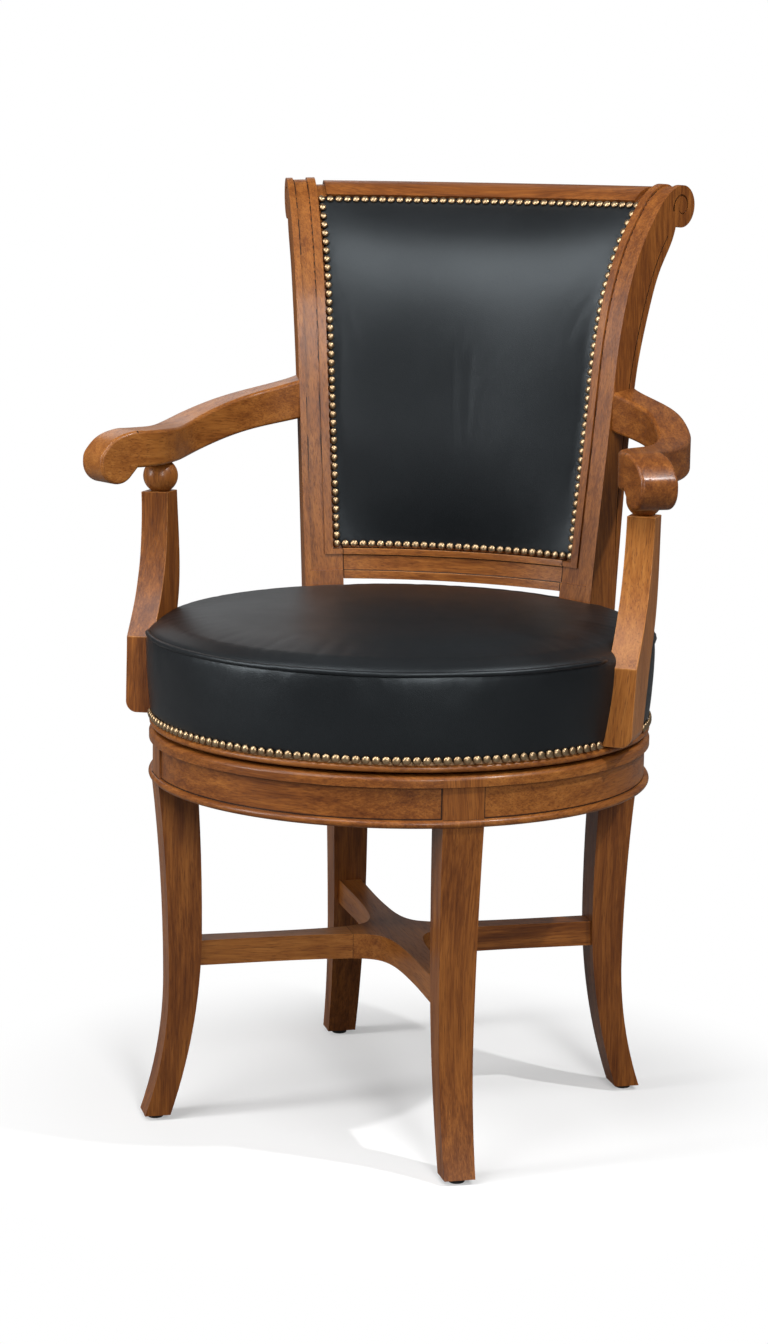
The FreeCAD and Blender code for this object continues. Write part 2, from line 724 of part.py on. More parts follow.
cage = turned_body("ball_cage", [
    (S.ball_circle - S.cage_half_width, ball_height - S.cage_thickness / 2),
    (S.ball_circle + S.cage_half_width, ball_height - S.cage_thickness / 2),
    (S.ball_circle + S.cage_half_width, ball_height + S.cage_thickness / 2),
    (S.ball_circle - S.cage_half_width, ball_height + S.cage_thickness / 2)])
bored(cage, "ball_pocket", S.ball_radius + S.fit, S.ball_circle, int(float(S.ball_count)))
keep("ball_cage", cage)
balls = [Part.makeSphere(float(S.ball_radius), spot) for spot in ball_spots()]
piece("swivel_balls", Part.makeCompound(balls))
piece("swivel_upper_plate", upper_plate)
upper_screw_length = S.plate_thickness + S.board_thickness * 0.75
upper_screws = [pan_screw(spot, up, upper_screw_length)
                for spot in plate_screw_spots(swivel_top - S.plate_thickness)]
piece("swivel_upper_screws", Part.makeCompound(upper_screws))

# back posts: side outlines as (share of height, share of set-back)

post_top = S.scroll_height + S.scroll_radius
post_front_shares = [(0.0, -0.047), (0.216, 0.0), (0.383, 0.071), (0.551, 0.142), (0.662, 0.189),
                     (0.755, 0.26), (0.83, 0.362), (0.891, 0.488), (0.941, 0.634), (0.9786, 0.78),
                     (0.9963, 0.913), (1.0, 1.0)]
post_rear_shares = [(0.889, 0.882), (0.834, 0.74), (0.768, 0.627), (0.7, 0.543), (0.634, 0.48),
                    (0.569, 0.445), (0.476, 0.409), (0.327, 0.374), (0.216, 0.354)]
post_notch_share = 0.414


def post_points(shares):
    tall = post_top - S.post_foot
    return [point(0, S.scroll_reach * back, S.post_foot + tall * high) for high, back in shares]


def moved_back(points, distance):
    """The points of an open outline moved square to it, towards the wood behind."""
    moved = []
    for index, spot in enumerate(points):
        before = points[max(index - 1, 0)]
        after = points[min(index + 1, len(points) - 1)]
        along = after - before
        if index == len(points) - 1:
            along = Vector(0, 1, 0)
        square = Vector(0, along.z, -along.y).normalize()
        moved.append(spot + square * distance)
    return moved


def post_face(inset):
    """The post's side outline with its front and scroll set in by inset."""
    radius = float(S.scroll_radius) - inset
    centre = point(0, S.scroll_reach, S.scroll_height)
    front = moved_back(post_points(post_front_shares), inset)
    front[-1] = centre + Vector(0, 0, radius)
    lean = math.asin(post_notch_share)
    throat = Vector(0, -math.sin(lean), -math.cos(lean))
    notch = centre + throat * float(S.scroll_radius)
    behind = centre + Vector(0, radius, 0)
    foot_rear = Vector(0, post_points(post_front_shares)[0].y + float(S.post_foot_depth), float(S.post_foot))
    front[0].z = float(S.post_foot)
    rear = [notch] + post_points(post_rear_shares) + [foot_rear]
    edges = [spline(front, Vector(0, 0, 1), Vector(0, 1, 0)),
             Part.Arc(front[-1], behind, centre + throat * radius).toShape(),
             spline(rear), Part.LineSegment(foot_rear, front[0]).toShape()]
    if inset > 0:
        edges.append(Part.LineSegment(centre + throat * radius, notch).toShape())
    return filled(edges)


def post_local(inset, from_inner, to_inner):
    """A slice of the post between two distances from its outer face, in the post's own frame."""
    face = post_face(inset)
    face.translate(point(S.post_width / 2 - to_inner, S.back_radius, 0))
    return face.extrude(point(to_inner - from_inner, 0, 0))


def in_post_place(shape):
    """From the right post's own frame (x outward, y back) to the chair's."""
    copy = shape.copy()
    copy.rotate(point(0, 0, S.post_reference), Vector(0, 1, 0), float(S.post_splay))
    copy.rotate(Vector(0, 0, 0), Vector(0, 0, 1), -post_angle)
    copy.translate(point(0, -back_centre, 0))
    return copy


def volute_cutter():
    """A narrowing spiral channel in the outer face of the scroll."""
    turns, steps = 1.35, 27
    outer_start = float(S.scroll_radius) * 0.74
    inner_start = float(S.scroll_radius) * 0.62
    end = float(S.scroll_radius) * 0.16
    centre = point(0, S.scroll_reach, S.scroll_height)
    sides = []
    for start in (outer_start, inner_start):
        line = []
        for k in range(steps + 1):
            share = k / steps
            radius = start + (end - start) * share ** 0.8
            angle = math.radians(200) - 2 * math.pi * turns * share
            line.append(centre + Vector(0, math.cos(angle) * radius, math.sin(angle) * radius))
        sides.append(line)
    outer, inner = sides
    edges = [spline(outer[:-1] + [outer[-1]]), spline(inner[:-1])]
    edges.append(Part.LineSegment(outer[0], inner[0]).toShape())
    edges.append(Part.LineSegment(outer[-1], inner[-2]).toShape())
    face = filled(edges)
    face.translate(point(S.post_width / 2 - S.volute_cut, S.back_radius, 0))
    return face.extrude(point(S.volute_cut + S.overrun, 0, 0))


def side_line_cutter():
    """A fine line cut along the rear edge of the post's outer face."""
    near = moved_back(post_points(post_rear_shares), float(S.side_line_inset))
    far = moved_back(post_points(post_rear_shares), float(S.side_line_inset + S.side_line_width))
    edges = [spline(near), spline(far), Part.LineSegment(near[0], far[0]).toShape(),
             Part.LineSegment(near[-1], far[-1]).toShape()]
    face = filled(edges)
    face.translate(point(S.post_width / 2 - S.side_line_depth, S.back_radius, 0))
    return face.extrude(point(S.side_line_depth + S.overrun, 0, 0))


bead_end = S.post_bead + S.post_flat
leather_start = bead_end + S.inner_bead
rail_bead_top = S.bottom_rail_foot + S.rail_bead
rail_flat_top = rail_bead_top + S.rail_flat
rail_strip_top = rail_flat_top + S.rail_strip


def post_slice(inset, from_inner, to_inner, low=None, high=None):
    """A slice of the post, kept between two heights."""
    low = S.post_foot - S.overrun if low is None else low
    high = post_top + S.overrun if high is None else high
    room = box((-S.post_width, 0, low), (S.post_width, S.back_radius * 2, high))
    return post_local(float(inset), from_inner, to_inner).common(room)


strip_top_in_post = rail_strip_top - S.soft_gap * 5
post_shape = post_slice(0, 0, S.post_bead)
post_shape = post_shape.fuse([
    post_slice(S.flat_recess, S.post_bead, bead_end),
    post_slice(S.flat_recess, bead_end, S.post_width, None, rail_flat_top),
    post_slice(0, bead_end, leather_start, rail_flat_top),
    post_slice(0, leather_start, S.post_width, rail_flat_top, strip_top_in_post),
    post_slice(S.leather_recess + S.leather_bed, leather_start, S.post_width, strip_top_in_post),
    post_slice(0, S.post_bead, S.post_width, None, rail_bead_top)])
post_shape = post_shape.cut(Part.makeCompound([volute_cutter(), side_line_cutter()]))
post_right = in_post_place(one_solid(post_shape))
post_bolt_heights = [S.post_foot + S.hoop_height * 0.27, S.post_foot + S.hoop_height * 0.73]
post_bolt_start = S.back_radius - S.post_foot_depth * 0.4


def post_bolt(maker):
    made = []
    for height in post_bolt_heights:
        made.append(in_post_place(maker(point(0, post_bolt_start, height), Vector(0, 1, 0))))
    return made


def post_block(grow, top):
    """The straight foot of the post with room around it, used to cut what it stands in."""
    face = post_face(0)
    low = box((-S.overrun, -S.post_foot_depth, S.post_foot - grow), (S.overrun, S.post_foot_depth * 2, top))
    plate = face.extrude(Vector(1, 0, 0)).common(low)
    bound = plate.BoundBox
    span = box((-S.post_width / 2 - grow, float(S.back_radius) + bound.YMin - grow, S.post_foot - grow),
               (S.post_width / 2 + grow, float(S.back_radius) + bound.YMax + grow, top))
    return in_post_place(span)


post_cut = post_right.cut(Part.makeCompound(post_bolt(bolt_hole)))
post_right = one_solid(post_cut)

# back rails: outlines as (distance from the plan centre, height), turned about it

flush = math.hypot(float(S.back_radius), float(S.post_width) / 2) - float(S.back_radius)


front_curve = Part.BSplineCurve()
front_curve.interpolate(post_points(post_front_shares), InitialTangent=up, FinalTangent=Vector(0, 1, 0))
front_run = front_curve.LastParameter - front_curve.FirstParameter
front_table = [front_curve.value(front_curve.FirstParameter + front_run * k / 800) for k in range(801)]


def front_at(height):
    """Set-back of the posts' front at a height."""
    if height <= front_table[0].z:
        return front_table[0].y
    for lower, higher in zip(front_table, front_table[1:]):
        if lower.z <= height <= higher.z:
            share = (height - lower.z) / max(higher.z - lower.z, higher.z / 1e9)
            return lower.y + (higher.y - lower.y) * share
    return front_table[-1].y


def slope_at(height):
    step = float(S.post_width) / 20
    return math.atan2(front_at(height + step) - front_at(height - step), 2 * step)


def layer(height, depth):
    """A point of the middle section, depth behind the posts' front, measured square to it."""
    lean = slope_at(height)
    return Vector(0, float(S.back_radius) + flush + front_at(height) + depth * math.cos(lean),
                  height - depth * math.sin(lean))


def around_centre(face):
    """Turn a section of the back about its plan centre and trim it between the posts."""
    wide = 2 * post_angle
    section = face.copy()
    section.rotate(Vector(0, 0, 0), Vector(0, 0, 1), -wide / 2)
    solid = section.revolve(Vector(0, 0, 0), Vector(0, 0, 1), wide)
    solid.translate(point(0, -back_centre, 0))
    keep_out = box((-S.post_width / 2, 0, 0), (S.back_radius, S.back_radius * 2, post_top * 2))
    keep_out = in_post_place(keep_out)
    return one_solid(solid.cut(keep_out).cut(mirrored(keep_out)))


def strip(low, high, near, far):
    """Closed section between two depths over a span of heights, following the posts' curve."""
    low, high = float(low), float(high)
    count = 3 + int((high - low) / float(S.scroll_radius) * 2)
    heights = [low + (high - low) * k / (count - 1) for k in range(count)]
    front = [layer(height, near) for height in heights]
    back = [layer(height, far) for height in heights]
    return filled([spline(front), spline(back), Part.LineSegment(front[0], back[0]).toShape(),
                   Part.LineSegment(front[-1], back[-1]).toShape()])


rail_top = S.bottom_rail_foot + S.bottom_rail_height
rail_back = float(S.rail_depth)
bottom_rail = around_centre(strip(S.bottom_rail_foot, rail_bead_top, 0.0, rail_back))
bottom_rail = bottom_rail.fuse([
    around_centre(strip(rail_bead_top, rail_flat_top, float(S.flat_recess), rail_back)),
    around_centre(strip(rail_flat_top, rail_strip_top, 0.0, rail_back)),
    around_centre(strip(rail_strip_top, rail_top, float(S.leather_recess), rail_back))])

crest_leather_end = crest_top - S.scroll_radius * 0.61


def crest_outline():
    """Section of the crest rail: leather bed, lip, scroll a little smaller than the posts', and back."""
    inset = float(S.crest_inset)
    low, high = float(crest_foot), float(crest_leather_end)
    bed = [layer(low + (high - low) * k / 4, float(S.leather_recess)) for k in range(5)]
    radius = float(S.scroll_radius) - inset
    shift = Vector(0, float(S.back_radius) + flush, 0)
    centre = point(0, S.scroll_reach, S.scroll_height) + shift
    lip = layer(high, inset)
    roll = [spot + shift for spot in moved_back(post_points(post_front_shares), inset)
            if spot.z > high + inset]
    top = centre + Vector(0, 0, radius)
    lean = math.asin(post_notch_share)
    throat = centre + Vector(0, -math.sin(lean), -math.cos(lean)) * radius
    behind = centre + Vector(0, radius, 0)
    back = [throat] + [layer(low + (high - low) * share, rail_back) for share in (0.5, 0.25, 0.0)]
    return filled([spline(bed), Part.LineSegment(bed[-1], lip).toShape(), spline([lip] + roll[:-1] + [top]),
                   Part.Arc(top, behind, throat).toShape(), spline(back),
                   Part.LineSegment(back[-1], bed[0]).toShape()])


crest = around_centre(crest_outline())
bottom_rail = one_solid(bottom_rail.removeSplitter())
crest = one_solid(crest.removeSplitter())

# back padding: sections across the width, from one leather edge to the other

edge_in_post = S.post_width / 2 - leather_start
leather_low = rail_strip_top
leather_high = crest_leather_end
nail_band = S.nail_radius * 2 + S.soft_gap * 3


def edge_angle(height):
    """Angle from the middle to the leather's edge at a height, seen from the plan centre."""
    splay = math.tan(math.radians(float(S.post_splay))) * (height - float(S.post_reference))
    across = float(edge_in_post) + splay
    reach = float(S.back_radius) + front_at(height)
    return math.radians(post_angle) + math.atan2(across, reach)


def back_point(height, across, depth, narrow=0.0):
    """A point of the back: across runs from -1 to 1 between the leather's edges."""
    spot = layer(height, depth)
    angle = across * (edge_angle(height) - narrow / spot.y)
    return Vector(spot.y * math.sin(angle), spot.y * math.cos(angle) - float(back_centre), spot.z)


def fullness(across, up_share, side_band, end_band):
    """Share of the crown at a place of the pad: 0 in its nailed band, 1 in its middle."""
    side = min(abs(across) / (1 - side_band), 1)
    end = min(abs(2 * up_share - 1) / (1 - 2 * end_band), 1)
    return (1 - side ** 3.4) ** 1.2 * (1 - end ** 4) ** 1.2


def quilt(front, back):
    """The solid between two grids of points, closed along their four edges."""
    faces = []
    for grid in (front, back):
        surface = Part.BSplineSurface()
        surface.interpolate(grid)
        faces.append(surface.toShape())
    for edge in list(faces[0].Edges):
        twin = min(faces[1].Edges, key=lambda other: (other.CenterOfMass - edge.CenterOfMass).Length)
        faces.append(Part.makeRuledSurface(edge, twin))
    shell = Part.makeShell(faces)
    shell.sewShape()
    solid = Part.makeSolid(shell)
    if solid.Volume < 0:
        solid.reverse()
    return solid


pad_rows = [0.0, 0.012, 0.024, 0.04, 0.06, 0.09, 0.14, 0.2] + [0.26 + 0.06 * k for k in range(9)] + \
    [0.8, 0.86, 0.9, 0.93, 0.955, 0.976, 0.988, 1.0]
pad_columns = [0.0, 0.12, 0.24, 0.36, 0.48, 0.6, 0.7, 0.79, 0.86, 0.91, 0.94, 0.97, 1.0]
pad_columns = [-share for share in reversed(pad_columns[1:])] + pad_columns


def pad(near, far, crown_front, crown_back, inset):
    """A padded layer between two depths, crowned towards the sitter, inset from the leather's edges."""
    foot, head = float(leather_low + S.fit), float(leather_high - S.fit)
    grids = []
    for depth, crown in ((near, crown_front), (far, crown_back)):
        grid = []
        for side in pad_columns:
            line = []
            for share in pad_rows:
                height = foot + inset + (head - foot - 2 * inset) * share
                reach = layer(height, depth).y * edge_angle(height)
                across = side * (1 - (inset + soft) / reach)
                rise = crown * fullness(across, (height - foot) / (head - foot), float(nail_band) / reach,
                                        float(nail_band) / (head - foot))
                line.append(back_point(height, across, depth - rise))
            grid.append(line)
        grids.append(grid)
    return quilt(*grids)


leather = float(S.leather)
seat_depth = float(S.leather_recess)
crown = float(S.back_crown)
gap = float(S.fit)
soft = float(S.soft_gap)
back_cover = pad(seat_depth - soft - leather, seat_depth - soft, crown, crown, 0.0)
back_foam = pad(seat_depth, seat_depth - soft, crown, 0.0, float(nail_band) * 2.4)


def between_posts(low, high, near, far, clearance):
    """A curved panel that fills the frame between posts and rails."""
    solid = around_centre(strip(low, high, near, far))
    for side in (-1, 1):
        trim = box((-S.post_width / 2 - clearance, 0, 0), (S.back_radius, S.back_radius * 2, post_top * 2))
        trim = in_post_place(trim)
        solid = solid.cut(trim if side > 0 else mirrored(trim))
    return one_solid(solid)


board_front = seat_depth
board_back = board_front + float(S.back_board_thickness)
back_board = between_posts(rail_top + S.fit, crest_foot - S.fit, board_front, board_back, S.fit)
outside_front = rail_back
outside_low = rail_bead_top
outside_high = crest_foot + S.rail_depth * 0.55
outside_board = between_posts(outside_low, outside_high, outside_front + soft,
                              outside_front + float(S.outside_board_thickness), S.fit)
outside_skin_front = outside_front + float(S.outside_board_thickness) + soft
outside_cover = between_posts(outside_low, outside_high, outside_skin_front, outside_skin_front + leather,
                              S.soft_gap)

# arms: plan points of the right arm's middle line, from the back post to the hand

hand_way = Vector(math.sin(math.radians(float(S.hand_turn))), -math.cos(math.radians(float(S.hand_turn))), 0)
ball = point(arm_ball_x, S.arm_ball_y, 0)
arm_rise = post_top - S.arm_underside
# share of the ball's distance from the middle plane, share of it back from the ball,
# share of the arm's rise at the top, thickness and width as shares of the arm's width
arm_shares = [
    (0.672, 0.929, 0.272, 1.18, 1.0),
    (0.717, 0.87, 0.252, 1.14, 1.0),
    (0.863, 0.756, 0.211, 1.06, 0.95),
    (0.966, 0.584, 0.175, 1.02, 0.92),
    (1.025, 0.412, 0.139, 0.98, 0.92),
    (1.036, 0.24, 0.118, 0.95, 0.92),
    (1.013, 0.069, 0.118, 0.945, 1.0),
    (1.0, -0.065, 0.124, 0.97, 1.06),
]


corner_bow_share = math.sqrt(2) - 1


def arm_section(middle, sideways, width, top, bottom):
    """A rounded rectangle square to the arm's run."""
    edge = float(S.arm_edge)
    half = width / 2
    corners = [(-half, bottom), (half, bottom), (half, top), (-half, top)]
    lines, ends = [], []
    for index, (x, z) in enumerate(corners):
        following = corners[(index + 1) % 4]
        span = math.hypot(following[0] - x, following[1] - z)
        step = ((following[0] - x) / span * edge, (following[1] - z) / span * edge)
        start = (x + step[0], z + step[1])
        end = (following[0] - step[0], following[1] - step[1])
        lines.append((start, end, following))
    edges = []

    def place(spot):
        return middle + sideways * spot[0] + Vector(0, 0, spot[1])

    for index, (start, end, corner) in enumerate(lines):
        onward = lines[(index + 1) % 4][0]
        edges.append(Part.LineSegment(place(start), place(end)).toShape())
        chord = ((end[0] + onward[0]) / 2, (end[1] + onward[1]) / 2)
        bow = [mid + (tip - mid) * corner_bow_share for mid, tip in zip(chord, corner)]
        edges.append(Part.Arc(place(end), place(bow), place(onward)).toShape())
    return Part.Wire(edges)


def arm_shape():
    base = float(arm_ball_x)
    rise = float(arm_rise)
    width = float(S.arm_depth)
    hand_centre = Vector(ball.x * 1.095, ball.y - base * 0.317, 0)
    hand_start = hand_centre - hand_way * float(S.hand_reach)
    stations = []
    for out, back, top, thick, wide in arm_shares:
        stations.append((Vector(base * out, ball.y + base * back, 0), float(S.arm_underside) + rise * top,
                         width * thick, width * wide))
    hand_top = float(S.hand_height) + float(S.hand_radius) * 1.6
    hand_thick = hand_top - float(S.arm_underside) + float(S.fit)
    stations.append((hand_start, hand_top, hand_thick, float(S.scroll_hand_width)))
    wires = []
    for index, (middle, top, thick, wide) in enumerate(stations):
        if index == len(stations) - 1:
            way = hand_way
        else:
            before = stations[max(index - 1, 0)][0]
            way = (stations[index + 1][0] - before).normalize()
        sideways = Vector(-way.y, way.x, 0)
        wires.append(arm_section(middle, sideways, wide, top, top - thick))
    body = Part.makeLoft(wires, True)
    return body, hand_start, hand_top, hand_thick


def hand_shape(hand_start, hand_top, hand_thick):
    """The rolled end of the arm: a side outline pushed across the arm's width."""
    radius = float(S.hand_radius)
    reach = float(S.hand_reach)
    centre = Vector(reach, 0, float(S.hand_height))
    bottom = hand_top - hand_thick
    start_top = Vector(0, 0, hand_top)
    nose = centre + Vector(radius, 0, 0)
    low = centre + Vector(0, 0, -radius)
    back_angle = math.radians(222)
    under = centre + Vector(math.cos(back_angle) * radius, 0, math.sin(back_angle) * radius)
    start_low = Vector(0, 0, bottom)
    top_line = spline([start_top, Vector(reach * 0.55, 0, hand_top - radius * 0.09),
                       Vector(reach * 1.25, 0, hand_top - radius * 0.42),
                       Vector(reach + radius * 0.82, 0, hand_top - radius * 0.95), nose],
                      Vector(1, 0, 0), Vector(0, 0, -1))
    roll = Part.Arc(nose, low, under).toShape()
    edges = [top_line, roll, Part.LineSegment(under, start_low).toShape(),
             Part.LineSegment(start_low, start_top).toShape()]
    face = filled(edges)
    face.translate(Vector(0, -float(S.scroll_hand_width) / 2, 0))
    solid = face.extrude(point(0, S.scroll_hand_width, 0))
    rims = [edge for edge in solid.Edges
            if edge.BoundBox.YLength < float(S.fit) and edge.BoundBox.XMax > reach * 0.1
            and edge.BoundBox.XLength > radius * 0.1]
    solid = solid.makeFillet(float(S.arm_edge) * 0.9, rims)
    placement = FreeCAD.Placement(hand_start, FreeCAD.Rotation(Vector(1, 0, 0), hand_way))
    solid.Placement = placement
    return solid


arm_body, hand_start, hand_top, hand_thick = arm_shape()
arm_hand = hand_shape(hand_start, hand_top, hand_thick)
post_side = in_post_place(box((-S.back_radius, 0, 0), (S.post_width / 2, S.back_radius * 2, post_top)))
arm_right = one_solid(arm_body.fuse(arm_hand).removeSplitter().cut(post_side))

# arm posts: side outline as (share of height, share of the post's width behind the ball)

arm_post_front_shares = [(1, -0.5593), (0.89, -0.5763), (0.8, -0.661), (0.7, -0.8136),
                         (0.6, -1.0847), (0.5, -1.4576), (0.42, -1.8644), (0.35, -2.2542)]
arm_post_low_front_shares = [(0.28, -2.3051), (0.12, -2.4407), (0, -2.5254)]
arm_post_rear_shares = [(1, 0.4407), (0.85, 0.5085), (0.68, 0.5593), (0.5, 0.3898), (0.35, -0.0339),
                        (0.17, -0.4407), (0, -0.8136)]


def arm_post_points(shares):
    tall = S.arm_post_top - S.arm_post_foot
    return [point(0, ball.y + S.arm_post_width * share, S.arm_post_foot + tall * high)
            for high, share in shares]


def arm_post_shape():
    front = arm_post_points(arm_post_front_shares)
    low_front = arm_post_points([arm_post_front_shares[-1]] + arm_post_low_front_shares)
    rear = arm_post_points(arm_post_rear_shares)
    edges = [spline(front), spline(low_front), spline(rear),
             Part.LineSegment(front[0], rear[0]).toShape(),
             Part.LineSegment(low_front[-1], rear[-1]).toShape()]
    face = filled(edges)
    face.translate(point(-S.arm_post_width / 2, 0, 0))
    solid = face.extrude(point(S.arm_post_width, 0, 0))
    lower = [edge for edge in solid.Edges
             if edge.BoundBox.ZMax < float(S.arm_post_foot + S.fit) and edge.BoundBox.XMin > 0]
    solid = solid.makeFillet(float(S.arm_post_corner), lower)
    middle_height = (S.arm_post_top + S.arm_post_foot) / 2
    solid.rotate(point(0, 0, middle_height), Vector(0, 1, 0), float(S.arm_post_lean))
    solid.translate(point(arm_post_centre, 0, 0))
    return solid


arm_post_right = arm_post_shape()
level = box((0, -arm_ball_x, S.arm_post_foot - S.overrun * 4),
            (arm_ball_x * 2, arm_ball_x, S.arm_post_top))
arm_post_right = arm_post_right.common(level)


def arm_post_block(grow):
    bound = arm_post_right.common(box((0, -arm_ball_x, 0), (arm_ball_x * 2, arm_ball_x,
                                                              seat_top))).BoundBox
    return box((bound.XMin - grow, bound.YMin - grow, bound.ZMin - S.overrun),
               (bound.XMax + S.overrun * 4, bound.YMax + grow, seat_top + S.overrun * 4))


border_foot = S.seat_foot + S.moulding_height
welt_height = border_foot + S.border_height
seat_top = welt_height + S.crown_height
hoop_foot = border_foot + S.board_thickness
hoop_top = hoop_foot + S.hoop_height

ball_middle = (S.arm_post_top + S.arm_underside) / 2
arm_ball = Part.makeSphere(float(S.arm_ball_radius), point(arm_ball_x, S.arm_ball_y, ball_middle))
arm_ball = arm_ball.common(box((0, -arm_ball_x, S.arm_post_top),
                               (arm_ball_x * 2, arm_ball_x, S.arm_underside)))
arm_dowel_spot = point(arm_ball_x, S.arm_ball_y, ball_middle)
arm_dowel_length = S.arm_underside - S.arm_post_top + S.dowel_length * 0.7
arm_dowel_hole = dowel(arm_dowel_spot, up, arm_dowel_length, gap)
arm_ball = one_solid(arm_ball.cut(arm_dowel_hole).cut(arm_right))

arm_bolt_heights = [hoop_foot + S.hoop_height * 0.27, hoop_foot + S.hoop_height * 0.73]
arm_bolt_y = S.arm_ball_y - S.arm_post_width * 1.7
arm_bolt_x = arm_post_centre - S.arm_post_width / 2 - S.bolt_length * 0.7


def arm_bolt(maker):
    return [maker(point(arm_bolt_x, arm_bolt_y, height), Vector(1, 0, 0)) for height in arm_bolt_heights]


arm_post_right = one_solid(arm_post_right.cut(Part.makeCompound(arm_bolt(bolt_hole) + [arm_dowel_hole])))


def arm_screw(maker):
    """Two screws from the inner side of the back post into the arm's end."""
    made = []
    for height_share in (0.2, 0.235):
        height = float(S.arm_underside) + float(arm_rise) * height_share - float(S.arm_depth) * 0.5
        start = point(-S.post_width / 2, S.back_radius + S.post_foot_depth * 0.7, height)
        made.append(in_post_place(maker(start, Vector(1, 0, 0), S.post_width + S.screw_length * 0.7)))
    return made


arm_screw_holes = Part.makeCompound(arm_screw(screw_hole))
arm_right = one_solid(arm_right.cut(arm_dowel_hole).cut(arm_screw_holes))
post_right = one_solid(post_right.cut(arm_screw_holes))

# dowels between back rails and posts

back_dowels = []
for height in (float(S.bottom_rail_foot + S.bottom_rail_height * 0.4), float(crest_foot) + rail_back):
    depth = (rail_back + seat_depth) / 2
    spot = layer(height, depth)
    spot = Vector(-float(S.post_width) / 2, spot.y - flush, spot.z)
    back_dowels.append((spot, Vector(1, 0, 0)))
right_pins = [in_post_place(dowel(spot, way)) for spot, way in back_dowels]
pin_holes = [in_post_place(dowel(spot, way, None, gap)) for spot, way in back_dowels]
right_pin_holes = Part.makeCompound(pin_holes)
post_right = one_solid(post_right.cut(right_pin_holes))
both_holes = Part.makeCompound([right_pin_holes, mirrored(right_pin_holes)])
bottom_rail = one_solid(bottom_rail.cut(both_holes))
crest = one_solid(crest.cut(both_holes))

# seat box and cushion

hoop_screw_circle = (moulding_inner_radius + hoop_inner_radius) / 2
hoop_screw_count = 8
hoop_screw_length = S.board_thickness * 2
hoop_screws, hoop_screw_holes = [], []
for k in range(hoop_screw_count):
    angle = 360 / hoop_screw_count * (k + 0.5)
    start = point(hoop_screw_circle, 0, border_foot)
    hoop_screws.append(turned(screw(start, up, hoop_screw_length), angle))
    hoop_screw_holes.append(turned(screw_hole(start, up, hoop_screw_length), angle))

moulding_nose = S.moulding_height * 0.501
moulding = turned_body("seat_moulding", [
    (moulding_inner_radius, S.seat_foot),
    (moulding_radius - S.moulding_height / 2, S.seat_foot, moulding_nose, 1),
    (moulding_radius - S.moulding_height / 2, border_foot),
    (moulding_inner_radius, border_foot)])

seat_board = turned_body("seat_board_blank", [
    (S.board_eye_radius, border_foot), (board_radius, border_foot),
    (board_radius, hoop_foot), (S.board_eye_radius, hoop_foot)])
board_holes = list(hoop_screw_holes)
board_holes += [cylinder(S.screw_radius + S.fit, upper_screw_length + S.fit, spot)
                for spot in plate_screw_spots(swivel_top - S.plate_thickness)]

hoop = turned_body("seat_hoop_blank", [
    (hoop_inner_radius, hoop_foot), (board_radius, hoop_foot),
    (board_radius, hoop_top), (hoop_inner_radius, hoop_top)])

# half outline of the cushion: (share of its radius, share of its height) over the border and the crown
border_shares = [(0.0, 0.0), (0.02, 0.05), (0.07, 0.11), (0.3, 0.2), (0.62, 0.4), (0.9, 0.62),
                 (1.0, 0.82), (0.9, 0.96), (0.72, 1.0)]
crown_shares = [(0.985, 0.12), (0.94, 0.32), (0.865, 0.52), (0.75, 0.7), (0.56, 0.86), (0.35, 0.95),
                (0.15, 0.993)]


def cushion_line(inset):
    """Outer line of the cushion from the moulding to its crown, set in by inset."""
    foot = float(border_foot)
    rise = float(S.border_height)
    low_radius = float(border_foot_radius) - inset
    swell = float(S.border_swell)
    border = [Vector(low_radius + swell * out, 0, foot + (rise - inset) * high)
              for out, high in border_shares]
    rim = border[-1].x
    top = [Vector(rim * out, 0, border[-1].z + float(S.crown_height) * high) for out, high in crown_shares]
    crest_point = Vector(0, 0, border[-1].z + float(S.crown_height))
    return border, [border[-1]] + top + [crest_point]


def cushion_solid(inset, foot_extra=0.0):
    border, crown_line = cushion_line(inset)
    axis_low = Vector(0, 0, border[0].z + foot_extra)
    start = Vector(border[0].x, 0, axis_low.z)
    border[0] = start
    edges = [spline(border), spline(crown_line), Part.LineSegment(crown_line[-1], axis_low).toShape(),
             Part.LineSegment(axis_low, start).toShape()]
    return filled(edges).revolve(Vector(0, 0, 0), Vector(0, 0, 1), 360)


outer_cushion = cushion_solid(0.0, gap)
inner_cushion = cushion_solid(leather, -float(S.overrun))
seat_cover = outer_cushion.cut(inner_cushion)
seat_foam = cushion_solid(leather + soft)
hollow = cylinder(board_radius + S.soft_gap, hoop_top - border_foot + S.soft_gap, point(0, 0, border_foot))
seat_foam = seat_foam.cut(hollow)
core = cylinder(hoop_inner_radius - S.soft_gap, S.hoop_height + S.overrun / 2,
                point(0, 0, hoop_foot + S.fit))
seat_foam = seat_foam.fuse(core).removeSplitter()



def both(shapes):
    """Each shape of the right side, followed by its mirror image."""
    return [side for shape in shapes for side in (shape, mirrored(shape))]


room_top = seat_top + S.overrun * 4
wood_room = both([post_block(gap, room_top), arm_post_block(gap)])
soft_room = Part.makeCompound(both([post_block(soft, room_top), arm_post_block(soft)]))
bolt_room = both(post_bolt(bolt_hole) + arm_bolt(bolt_hole))
seat_cover = one_solid(seat_cover.cut(soft_room))
seat_foam = one_solid(seat_foam.cut(soft_room))

keep("seat_moulding", moulding)
drilled("seat_board", seat_board, board_holes + wood_room)
drilled("seat_hoop", hoop, hoop_screw_holes + wood_room + bolt_room)
piece("hoop_screws", Part.makeCompound(hoop_screws))
piece("seat_foam", seat_foam)
piece("seat_cover", seat_cover)

